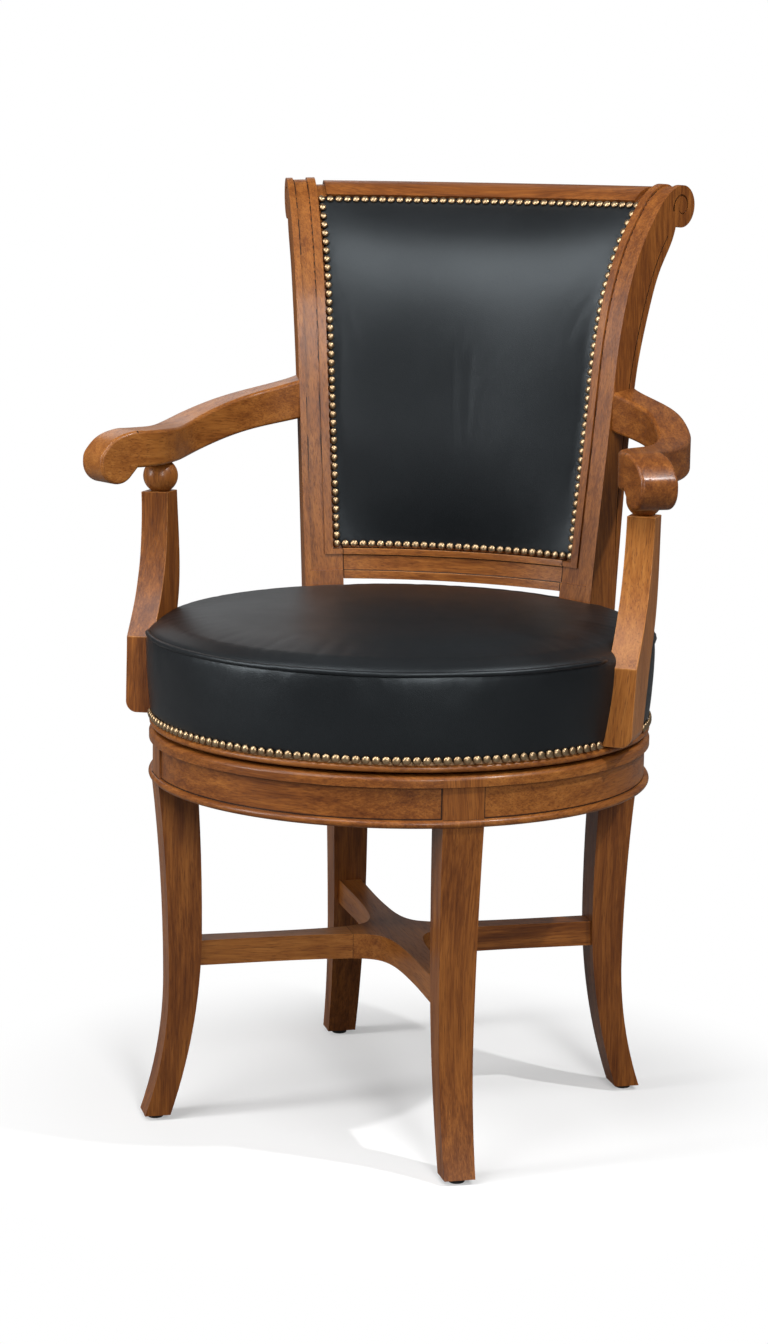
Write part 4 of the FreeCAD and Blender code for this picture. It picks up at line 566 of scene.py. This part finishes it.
def dressed(node, body, along, panel=None):
    """A wood piece on its CAD node's shape. Its edges are eased, and an attribute on the corners of the faces
    marks them: 1 on free convex edges, where a highlight is painted; -1 in hollow corners, where shade is
    painted, and along joints, drawn as dark lines; a little less, -0.8, in grooves and round a sunk panel,
    where shade is painted. panel is the heading of an apron rail's middle."""
    shape = merged(node)
    bmesh.ops.dissolve_limit(shape, angle_limit=math.radians(0.25), verts=shape.verts, edges=shape.edges)
    if panel is not None:
        cut_panel_border(shape, panel)
    around = neighbours(node)
    weight = shape.edges.layers.float.new("bevel_weight_edge")
    marks, signs, hollows = [], [], []
    for item in sharp_edges(shape, SHARP_ANGLE):
        start, end = (vertex.co.copy() for vertex in item.verts)
        steps = max(1, int((end - start).length / MARK_SPACING))
        places = [start.lerp(end, (step + 0.5) / steps) for step in range(steps)]
        if item.is_convex:
            # A free convex edge gets 1, a painted highlight; one that meets other wood gets -1, a dark joint
            # line.
            highlight_and_shade_signs = [-1.0 if around.find_nearest(place, JOINT_REACH)[0] else 1.0 for place in places]
        else:
            # A hollow corner gets -1, painted shade.
            highlight_and_shade_signs = [-1.0] * steps
            hollows += places
        item[weight] = EDGE_WEIGHT if max(highlight_and_shade_signs) > 0 else 1.0
        marks += places
        signs += highlight_and_shade_signs
    nearest_mark, nearest_hollow = search_tree(marks), search_tree(hollows)
    mesh = joined_mesh(node, shape)
    for _ in range(2):
        mesh.materials.append(None)
    item = loose_item(mesh)
    eased = item.modifiers.new("eased", "BEVEL")
    eased.limit_method = "WEIGHT"
    eased.width = EDGE_WIDTH / EDGE_WEIGHT
    eased.segments = 2
    eased.profile = 0.6
    eased.material = 1
    mesh = evaluated(item, node)
    shape = bmesh.new()
    shape.from_mesh(mesh)
    rub = shape.loops.layers.float.new("rub")
    for face in shape.faces:
        middle = face.calc_center_median()
        if face.material_index == 1:
            value = signs[nearest_mark.find(middle)[1]]
            face.material_index = 0
        # Painted shade round the sunk panel, and in grooves close to hollow corners.
        elif panel is not None and in_panel_border(panel, middle):
            value = GROOVE_SHADE
        elif hollows and all(nearest_hollow.find(place)[2] < GROOVE_REACH
                             for place in [middle] + [vertex.co for vertex in face.verts]):
            value = GROOVE_SHADE
        else:
            continue
        for corner in face.loops:
            corner[rub] = value
    bmesh.ops.triangulate(shape, faces=shape.faces, quad_method="BEAUTY", ngon_method="BEAUTY")
    shape.to_mesh(mesh)
    shape.free()
    mesh.shade_smooth()
    mesh.set_sharp_from_angle(angle=math.radians(42))
    item = loose_item(mesh)
    weighted = item.modifiers.new("weighted", "WEIGHTED_NORMAL")
    weighted.keep_sharp = True
    weighted.weight = 80
    mesh = evaluated(item, "dressed_" + node)
    set_grain(mesh, along)
    added("wood_" + node, mesh, WOOD, body, [node])


def heading(degrees, tilt=0.0):
    turn = math.radians(degrees)
    return (math.cos(turn), math.sin(turn), tilt)


# wooden pieces

RAIL_HEADINGS = {"right": -14, "rear": 76, "left": 166, "front": 256}
SIDES = {"right": 1, "left": -1}
WOODEN = {
    "leg_front_right": (BASE, (0, 0, 1)),
    "leg_rear_right": (BASE, (0, 0, 1)),
    "leg_rear_left": (BASE, (0, 0, 1)),
    "leg_front_left": (BASE, (0, 0, 1)),
    "stretcher_long": (BASE, heading(-59)),
    "stretcher_arm_left": (BASE, heading(31)),
    "stretcher_arm_right": (BASE, heading(31)),
    "seat_moulding": (SEAT, (1, 0, 0)),
    "crest_rail": (SEAT, (1, 0, 0)),
    "bottom_rail": (SEAT, (1, 0, 0)),
}
for place, middle in RAIL_HEADINGS.items():
    WOODEN["apron_rail_" + place] = (BASE, heading(middle + 90))
for side, sign in SIDES.items():
    WOODEN["back_post_" + side] = (SEAT, (0.05 * sign, -0.14, 1))
    WOODEN["arm_" + side] = (SEAT, (0.28 * sign, -1, 0.05))
    WOODEN["arm_ball_" + side] = (SEAT, (0, 0, 1))
    WOODEN["arm_post_" + side] = (SEAT, (0.03 * sign, 0.05, 1))
PANELS = {"apron_rail_" + place: middle for place, middle in RAIL_HEADINGS.items()}
for name, (body, along) in WOODEN.items():
    dressed(name, body, along, panel=PANELS.get(name))


# upholstery

def biggest_part(shape):
    """Leaves only the largest connected surface of a bmesh."""
    for part in sorted(connected(shape), key=len)[:-1]:
        bmesh.ops.delete(shape, geom=part, context="VERTS")


def remeshed(name, shape, pitch):
    """The outer skin of a closed shape as an even net of small faces."""
    item = loose_item(joined_mesh(name, shape))
    remesh = item.modifiers.new("net", "REMESH")
    remesh.mode = "VOXEL"
    remesh.voxel_size = pitch
    mesh = evaluated(item, name)
    shape = bmesh.new()
    shape.from_mesh(mesh)
    biggest_part(shape)
    for _ in range(3):
        bmesh.ops.smooth_vert(shape, verts=shape.verts, factor=0.5, use_axis_x=True, use_axis_y=True,
                              use_axis_z=True)
    shape.to_mesh(mesh)
    shape.free()
    return mesh


def inflated(mesh, held, cap):
    """Blows a leather skin up for twenty frames of cloth. held is 1 where it is tacked, cap the most that a
    point moves."""
    start = points_of(mesh)
    item = loose_item(mesh)
    group = item.vertex_groups.new(name="tacked")
    for index in np.nonzero(held > 0.02)[0]:
        group.add([int(index)], float(held[index]), "REPLACE")
    cloth = item.modifiers.new("leather", "CLOTH")
    settings = cloth.settings
    settings.quality = 4
    settings.mass = 0.4
    settings.tension_stiffness = 25
    settings.compression_stiffness = 25
    settings.shear_stiffness = 12
    settings.bending_stiffness = 1.2
    settings.use_pressure = True
    settings.uniform_pressure_force = 4.0
    settings.vertex_group_mass = "tacked"
    settings.effector_weights.gravity = 0.0
    cloth.point_cache.frame_start = 1
    cloth.point_cache.frame_end = 20
    for number in range(1, 21):
        scene.frame_set(number)
    depsgraph = bpy.context.evaluated_depsgraph_get()
    blown = bpy.data.meshes.new_from_object(item.evaluated_get(depsgraph), depsgraph=depsgraph)
    moved = points_of(blown) - start
    bpy.data.meshes.remove(blown)
    item.modifiers.remove(cloth)
    bpy.data.objects.remove(item)
    scene.frame_set(1)
    far = np.linalg.norm(moved, axis=1)
    share = np.minimum(1.0, cap / np.maximum(far, 1e-9))
    set_points(mesh, start + moved * share[:, None])


def subdivided(mesh):
    item = loose_item(mesh)
    finer = item.modifiers.new("finer", "SUBSURF")
    finer.levels = 1
    finer.render_levels = 1
    return evaluated(item, mesh.name)


def bands(value, low, high):
    """0 below low, 1 above high, smooth between."""
    share = np.clip((value - low) / (high - low), 0, 1)
    return share * share * (3 - 2 * share)


def clusters(node):
    """The separate solids of a node: for each one its points."""
    shape = merged(node)
    found = [np.array([vertex.co[:] for vertex in part]) for part in connected(shape)]
    shape.free()
    return found


def nail_frames(node):
    """The points, the centre and the axis of each nailhead of a node."""
    frames = []
    for part in clusters(node):
        middle = part.mean(axis=0)
        spread, axes = np.linalg.eigh(np.cov((part - middle).T))
        odd = int(np.argmax(np.abs(spread - np.median(spread))))
        axis = axes[:, odd]
        frames.append((part, middle, axis))
    return frames


def capped(shape):
    """Closes each open rim of a skin with a fan of faces, out of sight behind it."""
    rim = dict.fromkeys(edge for edge in shape.edges if edge.is_boundary)
    while rim:
        loop, ends = [], [rim.popitem()[0]]
        while ends:
            edge = ends.pop()
            loop.append(edge)
            for other in [other for vertex in edge.verts for other in vertex.link_edges]:
                if other in rim:
                    del rim[other]
                    ends.append(other)
        places = [vertex.co for edge in loop for vertex in edge.verts]
        hub = shape.verts.new(sum(places, Vector()) / len(places))
        for edge in loop:
            corner = edge.link_loops[0]
            shape.faces.new((corner.link_loop_next.vert, corner.vert, hub))
    return shape


SEAT_FOOT = 0.4275
SEAT_EDGE = 0.2660
WELT_HEIGHT = 0.51705
WELT_CIRCLE = 0.26745
WELT_RADIUS = 0.0028
ARM_POST_HEADINGS = ((-22.6, -1.6), (181.6, 202.6))


def leather_beside_post(shape, start, end):
    """Adds the leather that lies close against an arm post, from one heading to another, as a closed sector
    on the seat's own outline."""
    leather = BVHTree.FromBMesh(merged("seat_cover"))
    clear = Vector(heading(20))
    inmost = 0.236
    outline = [(inmost, SEAT_FOOT)]
    for height in np.linspace(SEAT_FOOT, 0.5165, 10):
        hit = leather.ray_cast(clear * 0.4 + Vector((0, 0, height)), -clear)[0]
        outline.append((hit.xy.length, height))
    for radius in (0.2655, 0.2630, 0.2580, 0.2500, 0.2430, inmost):
        hit = leather.ray_cast(clear * radius + Vector((0, 0, 0.7)), Vector((0, 0, -1)))[0]
        outline.append((radius, hit.z))
    rows = []
    for turn in np.linspace(start, end, 16):
        across = Vector(heading(turn))
        rows.append([shape.verts.new(across * radius + Vector((0, 0, height))) for radius, height in outline])
    faces = [shape.faces.new(rows[0]), shape.faces.new(rows[-1])]
    count = len(outline)
    for first, second in zip(rows[:-1], rows[1:]):
        for index in range(count):
            after = (index + 1) % count
            faces.append(shape.faces.new((first[index], first[after], second[after], second[index])))
    bmesh.ops.recalc_face_normals(shape, faces=faces)


def seat_skin():
    """The outer skin of the seat's leather, without the side that lies on the foam."""
    foam = BVHTree.FromBMesh(merged("seat_foam"))
    shape = merged("seat_cover")
    inner = [face for face in shape.faces if foam.find_nearest(face.calc_center_median())[3] < 0.0007]
    bmesh.ops.delete(shape, geom=inner, context="FACES")
    capped(shape)
    for start, end in ARM_POST_HEADINGS:
        leather_beside_post(shape, start, end)
    return shape


BACK_SKIN_DEPTH = 0.008


def back_skin():
    """The front of the back's leather, carried back all round so that it holds a net of faces."""
    shape = merged("back_cover")
    rear = [face for face in shape.faces if face.normal.y > -0.2]
    bmesh.ops.delete(shape, geom=rear, context="FACES")
    biggest_part(shape)
    rim = [edge for edge in shape.edges if edge.is_boundary]
    grown = bmesh.ops.extrude_edge_only(shape, edges=rim)["geom"]
    bmesh.ops.translate(shape, vec=(0, BACK_SKIN_DEPTH, 0),
                        verts=[part for part in grown if isinstance(part, bmesh.types.BMVert)])
    return capped(shape)


def seat_cushion():
    """The round cushion: a crowned top with a full shoulder, a full side band, tucked in round the posts."""
    mesh = remeshed("seat_cushion", seat_skin(), 0.005)
    points = points_of(mesh)
    radius = np.hypot(points[:, 0], points[:, 1])
    height = points[:, 2]
    seam = np.exp(-((height - 0.517) / 0.007) ** 2) * bands(radius, 0.250, 0.262)
    tacked = 1 - bands(height, 0.432, 0.446)
    under = 1 - bands(height, 0.4265, SEAT_FOOT)
    held = np.clip(seam * 0.9 + tacked + under, 0, 1)
    inflated(mesh, held, 0.0062 * (1 - held) * post_clearance(points) + 0.0004)
    mesh = subdivided(mesh)
    points = points_of(mesh)
    normals = normals_of(mesh)
    radius = np.hypot(points[:, 0], points[:, 1])
    turn = np.arctan2(points[:, 1], points[:, 0])
    side = bands(radius, 0.245, 0.262) * (1 - bands(points[:, 2], 0.508, 0.518))
    ripple = np.sin(turn * 23 + 2 * np.sin(turn * 5)) * np.sin(turn * 9 + 1.3) * \
        np.exp(-((points[:, 2] - 0.500) / 0.012) ** 2)
    points += normals * (side * ripple * 0.0004)[:, None]
    inside = SEAT_EDGE - radius
    shoulder = bands(inside, 0.0, 0.024) * (1 - bands(inside, 0.030, 0.170))
    points[:, 2] += 0.0048 * shoulder * bands(points[:, 2], 0.515, 0.520)
    set_points(mesh, points)
    mesh.shade_smooth()
    item = added("leather_seat_cushion", mesh, LEATHER, SEAT, ["seat_cover", "seat_foam"])


def post_clearance(points):
    """0 against the wood of the posts, rising to 1 some way off."""
    nearest = np.full(len(points), 1.0)
    for node in ("back_post_right", "back_post_left", "arm_post_right", "arm_post_left"):
        low, high = (np.array(corner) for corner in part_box(node))
        gap = np.linalg.norm(np.maximum(np.maximum(low - points, points - high), 0), axis=1)
        nearest = np.minimum(nearest, bands(gap, 0.000, 0.030))
    return nearest


seat_cushion()


def nail_finder(node):
    """A search tree of a node's nails."""
    return search_tree([middle for part, middle, axis in nail_frames(node)])


def nail_gaps(points, tree):
    """How far each point lies from its nearest nail."""
    return np.array([tree.find(point)[2] for point in points])


def pulled_in(mesh, tree, depth):
    """Small dents in the leather where each nail draws it down."""
    points = points_of(mesh)
    gap = nail_gaps(points, tree)
    points -= normals_of(mesh) * (depth * np.exp(-(gap / 0.0045) ** 2))[:, None]
    set_points(mesh, points)


def back_cushion():
    """The padded leather of the back, tacked along its nails."""
    mesh = remeshed("back_cushion", back_skin(), 0.0040)
    leather = BVHTree.FromBMesh(merged("back_cover"))
    points = points_of(mesh)
    tree = nail_finder("back_nails")
    gap = nail_gaps(points, tree)
    inflated(mesh, 1 - bands(gap, 0.006, 0.014), 0.004 * bands(gap, 0.006, 0.040) + 0.0002)
    mesh = subdivided(mesh)
    points = points_of(mesh)
    facing = normals_of(mesh)[:, 1]
    for index in np.nonzero(facing > 0.1)[0]:
        if tree.find(points[index])[2] < 0.020:
            points[index] = leather.find_nearest(points[index])[0]
    set_points(mesh, points)
    pulled_in(mesh, tree, 0.0005)
    mesh.shade_smooth()
    item = added("leather_back_cushion", mesh, LEATHER, SEAT, ["back_cover", "back_foam"])


def outside_back():
    """The taut leather over the rear of the back, in an even net so that it can give round its nails."""
    shape = merged("outside_back_cover")
    low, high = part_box("outside_back_cover")
    for axis in (0, 2):
        normal = Vector((axis == 0, 0, axis == 2))
        steps = int((high[axis] - low[axis]) / 0.005)
        for step in range(1, steps):
            cut_along(shape, low.lerp(high, step / steps), normal)
    bmesh.ops.remove_doubles(shape, verts=shape.verts, dist=2e-6)
    mesh = joined_mesh("outside_back", shape)
    mesh.shade_smooth()
    mesh.set_sharp_from_angle(angle=math.radians(50))
    tree = nail_finder("outside_back_nails")
    points = points_of(mesh)
    gap = nail_gaps(points, tree)
    outward = np.maximum(normals_of(mesh)[:, 1], 0)
    points[:, 1] += 0.0016 * bands(gap, 0.004, 0.060) * outward
    set_points(mesh, points)
    pulled_in(mesh, tree, 0.0003)
    item = added("leather_outside_back", mesh, LEATHER, SEAT, ["outside_back_cover"])


back_cushion()
outside_back()


def welt_centre(cushion, angle, tuck):
    """The middle of the welt at an angle, close against the cushion and tucked in at a run's ends."""
    across = Vector((math.cos(angle), math.sin(angle), 0))
    centre = across * (WELT_CIRCLE + 0.0002 * math.sin(angle * 13) - 0.0045 * tuck) + \
        Vector((0, 0, WELT_HEIGHT + 0.00025 * math.sin(angle * 11 + 1) - 0.0020 * tuck))
    nearest = cushion.find_nearest(centre)[0]
    outward = centre - nearest
    return nearest + outward * min(1.0, WELT_RADIUS / 2 / max(outward.length, 1e-6))


def seat_piping():
    """The welt round the seat's top edge, in the runs that the posts leave."""
    under = bmesh.new()
    under.from_mesh(bpy.data.objects["leather_seat_cushion"].data)
    cushion = BVHTree.FromBMesh(under)
    under.free()
    shape = bmesh.new()
    spokes = 12
    for part in clusters("seat_welt"):
        turn = np.sort(np.arctan2(part[:, 1], part[:, 0]))
        gaps = np.append(np.diff(turn), turn[0] + 2 * math.pi - turn[-1])
        widest = int(np.argmax(gaps))
        start = turn[(widest + 1) % len(turn)]
        span = 2 * math.pi - gaps[widest]
        steps = int(span / math.radians(0.75))
        rows = []
        for step in range(steps + 1):
            angle = start + span * step / steps
            swell = 1 + 0.03 * math.sin(angle * 61) * math.sin(angle * 17 + 0.5)
            end = min(step, steps - step)
            reach = WELT_RADIUS * min(1.0, 0.30 + 0.14 * end) * swell
            centre = welt_centre(cushion, angle, 1.0 - min(1.0, end / 5.0))
            across = Vector((math.cos(angle), math.sin(angle), 0))
            row = []
            for spoke in range(spokes):
                around = 2 * math.pi * spoke / spokes
                row.append(shape.verts.new(centre + across * (reach * math.cos(around)) +
                                           Vector((0, 0, reach * math.sin(around)))))
            rows.append(row)
        for first, second in zip(rows[:-1], rows[1:]):
            for spoke in range(spokes):
                after = (spoke + 1) % spokes
                shape.faces.new((first[spoke], first[after], second[after], second[spoke]))
        shape.faces.new(rows[0])
        shape.faces.new(rows[-1])
    bmesh.ops.recalc_face_normals(shape, faces=shape.faces)
    mesh = joined_mesh("seat_piping", shape)
    mesh.shade_smooth()
    added("leather_seat_piping", mesh, LEATHER, SEAT, ["seat_welt"])


seat_piping()


# nails

def nail_tree():
    """Nailheads on points: each point's facing attribute is the way its head looks."""
    group = bpy.data.node_groups.new("nailheads", "GeometryNodeTree")
    face = group.interface
    face.new_socket("Points", in_out="INPUT", socket_type="NodeSocketGeometry")
    for name, value in (("Head radius", 0.0044), ("Head height", 0.003)):
        face.new_socket(name, in_out="INPUT", socket_type="NodeSocketFloat").default_value = value
    face.new_socket("Seed", in_out="INPUT", socket_type="NodeSocketInt").default_value = 7
    face.new_socket("Metal", in_out="INPUT", socket_type="NodeSocketMaterial")
    face.new_socket("Nails", in_out="OUTPUT", socket_type="NodeSocketGeometry")
    tree = Tree(group)
    given = tree.node("NodeGroupInput")
    ball = tree.node("GeometryNodeMeshUVSphere", None, {"Segments": 14, "Rings": 9, "Radius": 1.0})
    place = tree.node("GeometryNodeInputPosition")
    parts = tree.node("ShaderNodeSeparateXYZ", None, {0: place})
    rise = parts["Z"].math("MAXIMUM", 0.0) ** 0.86
    sink = parts["Z"].math("MINIMUM", 0.0) * 0.22
    shaped = tree.node("ShaderNodeCombineXYZ", None, {
        "X": parts["X"] * given["Head radius"],
        "Y": parts["Y"] * given["Head radius"],
        "Z": (rise + sink) * given["Head height"]})
    marked = tree.node("GeometryNodeStoreNamedAttribute", {"data_type": "FLOAT", "domain": "POINT"},
                       {"Geometry": ball, "Name": "crown", "Value": rise})
    domed = tree.node("GeometryNodeSetPosition", None, {"Geometry": marked, "Position": shaped})
    facing = tree.node("GeometryNodeInputNamedAttribute", {"data_type": "FLOAT_VECTOR"}, {"Name": "facing"})
    upright = tree.node("FunctionNodeAlignRotationToVector", {"axis": "Z"}, {"Vector": facing})
    wobble = tree.node("FunctionNodeRandomValue", {"data_type": "FLOAT_VECTOR"},
                       {0: (-0.07, -0.07, -3.1), 1: (0.07, 0.07, 3.1), "Seed": given["Seed"]})
    tilt = tree.node("FunctionNodeEulerToRotation", None, {0: wobble})
    turned = tree.node("FunctionNodeRotateRotation", {"rotation_space": "LOCAL"}, {0: upright, 1: tilt})
    size = tree.node("FunctionNodeRandomValue", {"data_type": "FLOAT"},
                     {2: 0.965, 3: 1.015, "Seed": given["Seed"]})[1]
    heads = tree.node("GeometryNodeInstanceOnPoints", None,
                      {"Points": given, "Instance": domed, "Rotation": turned, "Scale": size})
    real = tree.node("GeometryNodeRealizeInstances", None, {0: heads})
    coated = tree.node("GeometryNodeSetMaterial", None, {0: real, "Material": given["Metal"]})
    smooth = tree.node("GeometryNodeSetShadeSmooth", None, {0: coated})
    tree.node("NodeGroupOutput", None, {0: smooth})
    return group


NAILHEADS = nail_tree()


def nail_row(node, seed):
    """A row of nailheads on the places of a CAD node's nails."""
    places, facings = [], []
    for part, middle, axis in nail_frames(node):
        depth = (part - middle) @ axis
        if abs(depth.max()) < abs(depth.min()):
            axis, depth = -axis, -depth
        rings = np.linalg.norm((part - middle) - np.outer(depth, axis), axis=1)
        rim = depth[rings > 0.9 * rings.max()].mean()
        if rim > depth.mean():
            axis, depth, rim = -axis, -depth, -rim
        places.append(middle + axis * rim)
        facings.append(axis)
    mesh = bpy.data.meshes.new("nail_places")
    mesh.from_pydata([tuple(place) for place in places], [], [])
    facing = mesh.attributes.new("facing", "FLOAT_VECTOR", "POINT")
    facing.data.foreach_set("vector", np.array(facings, np.float32).ravel())
    item = loose_item(mesh)
    nails = item.modifiers.new("nails", "NODES")
    nails.node_group = NAILHEADS
    wanted = {"Head radius": 0.00436, "Head height": 0.0029, "Seed": seed, "Metal": BRASS}
    for socket in NAILHEADS.interface.items_tree:
        if socket.item_type == "SOCKET" and socket.name in wanted:
            nails[socket.identifier] = wanted[socket.name]
    mesh = evaluated(item, node)
    added("brass_" + node, mesh, BRASS, SEAT, [node])


nail_row("seat_nails", 3)
nail_row("back_nails", 5)
nail_row("outside_back_nails", 11)


# carried pieces

CARRIED = {
    STEEL: ["deck_screws", "swivel_lower_plate", "swivel_lower_screws", "pivot_rivet", "ball_cage",
            "swivel_balls", "swivel_upper_plate", "swivel_upper_screws", "hoop_screws", "back_post_bolts",
            "arm_post_bolts", "arm_screws"],
    BOARD: ["deck_board", "seat_board", "seat_hoop", "back_board", "outside_back_board"],
    DOWEL: ["apron_dowels", "stretcher_dowels", "back_dowels", "arm_dowels"],
    GLIDE: ["foot_glides"],
}
for material, names in CARRIED.items():
    for name in names:
        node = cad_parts[name]
        if not node.data.materials:
            node.data.materials.append(material)
        for socket in node.material_slots:
            socket.material = material
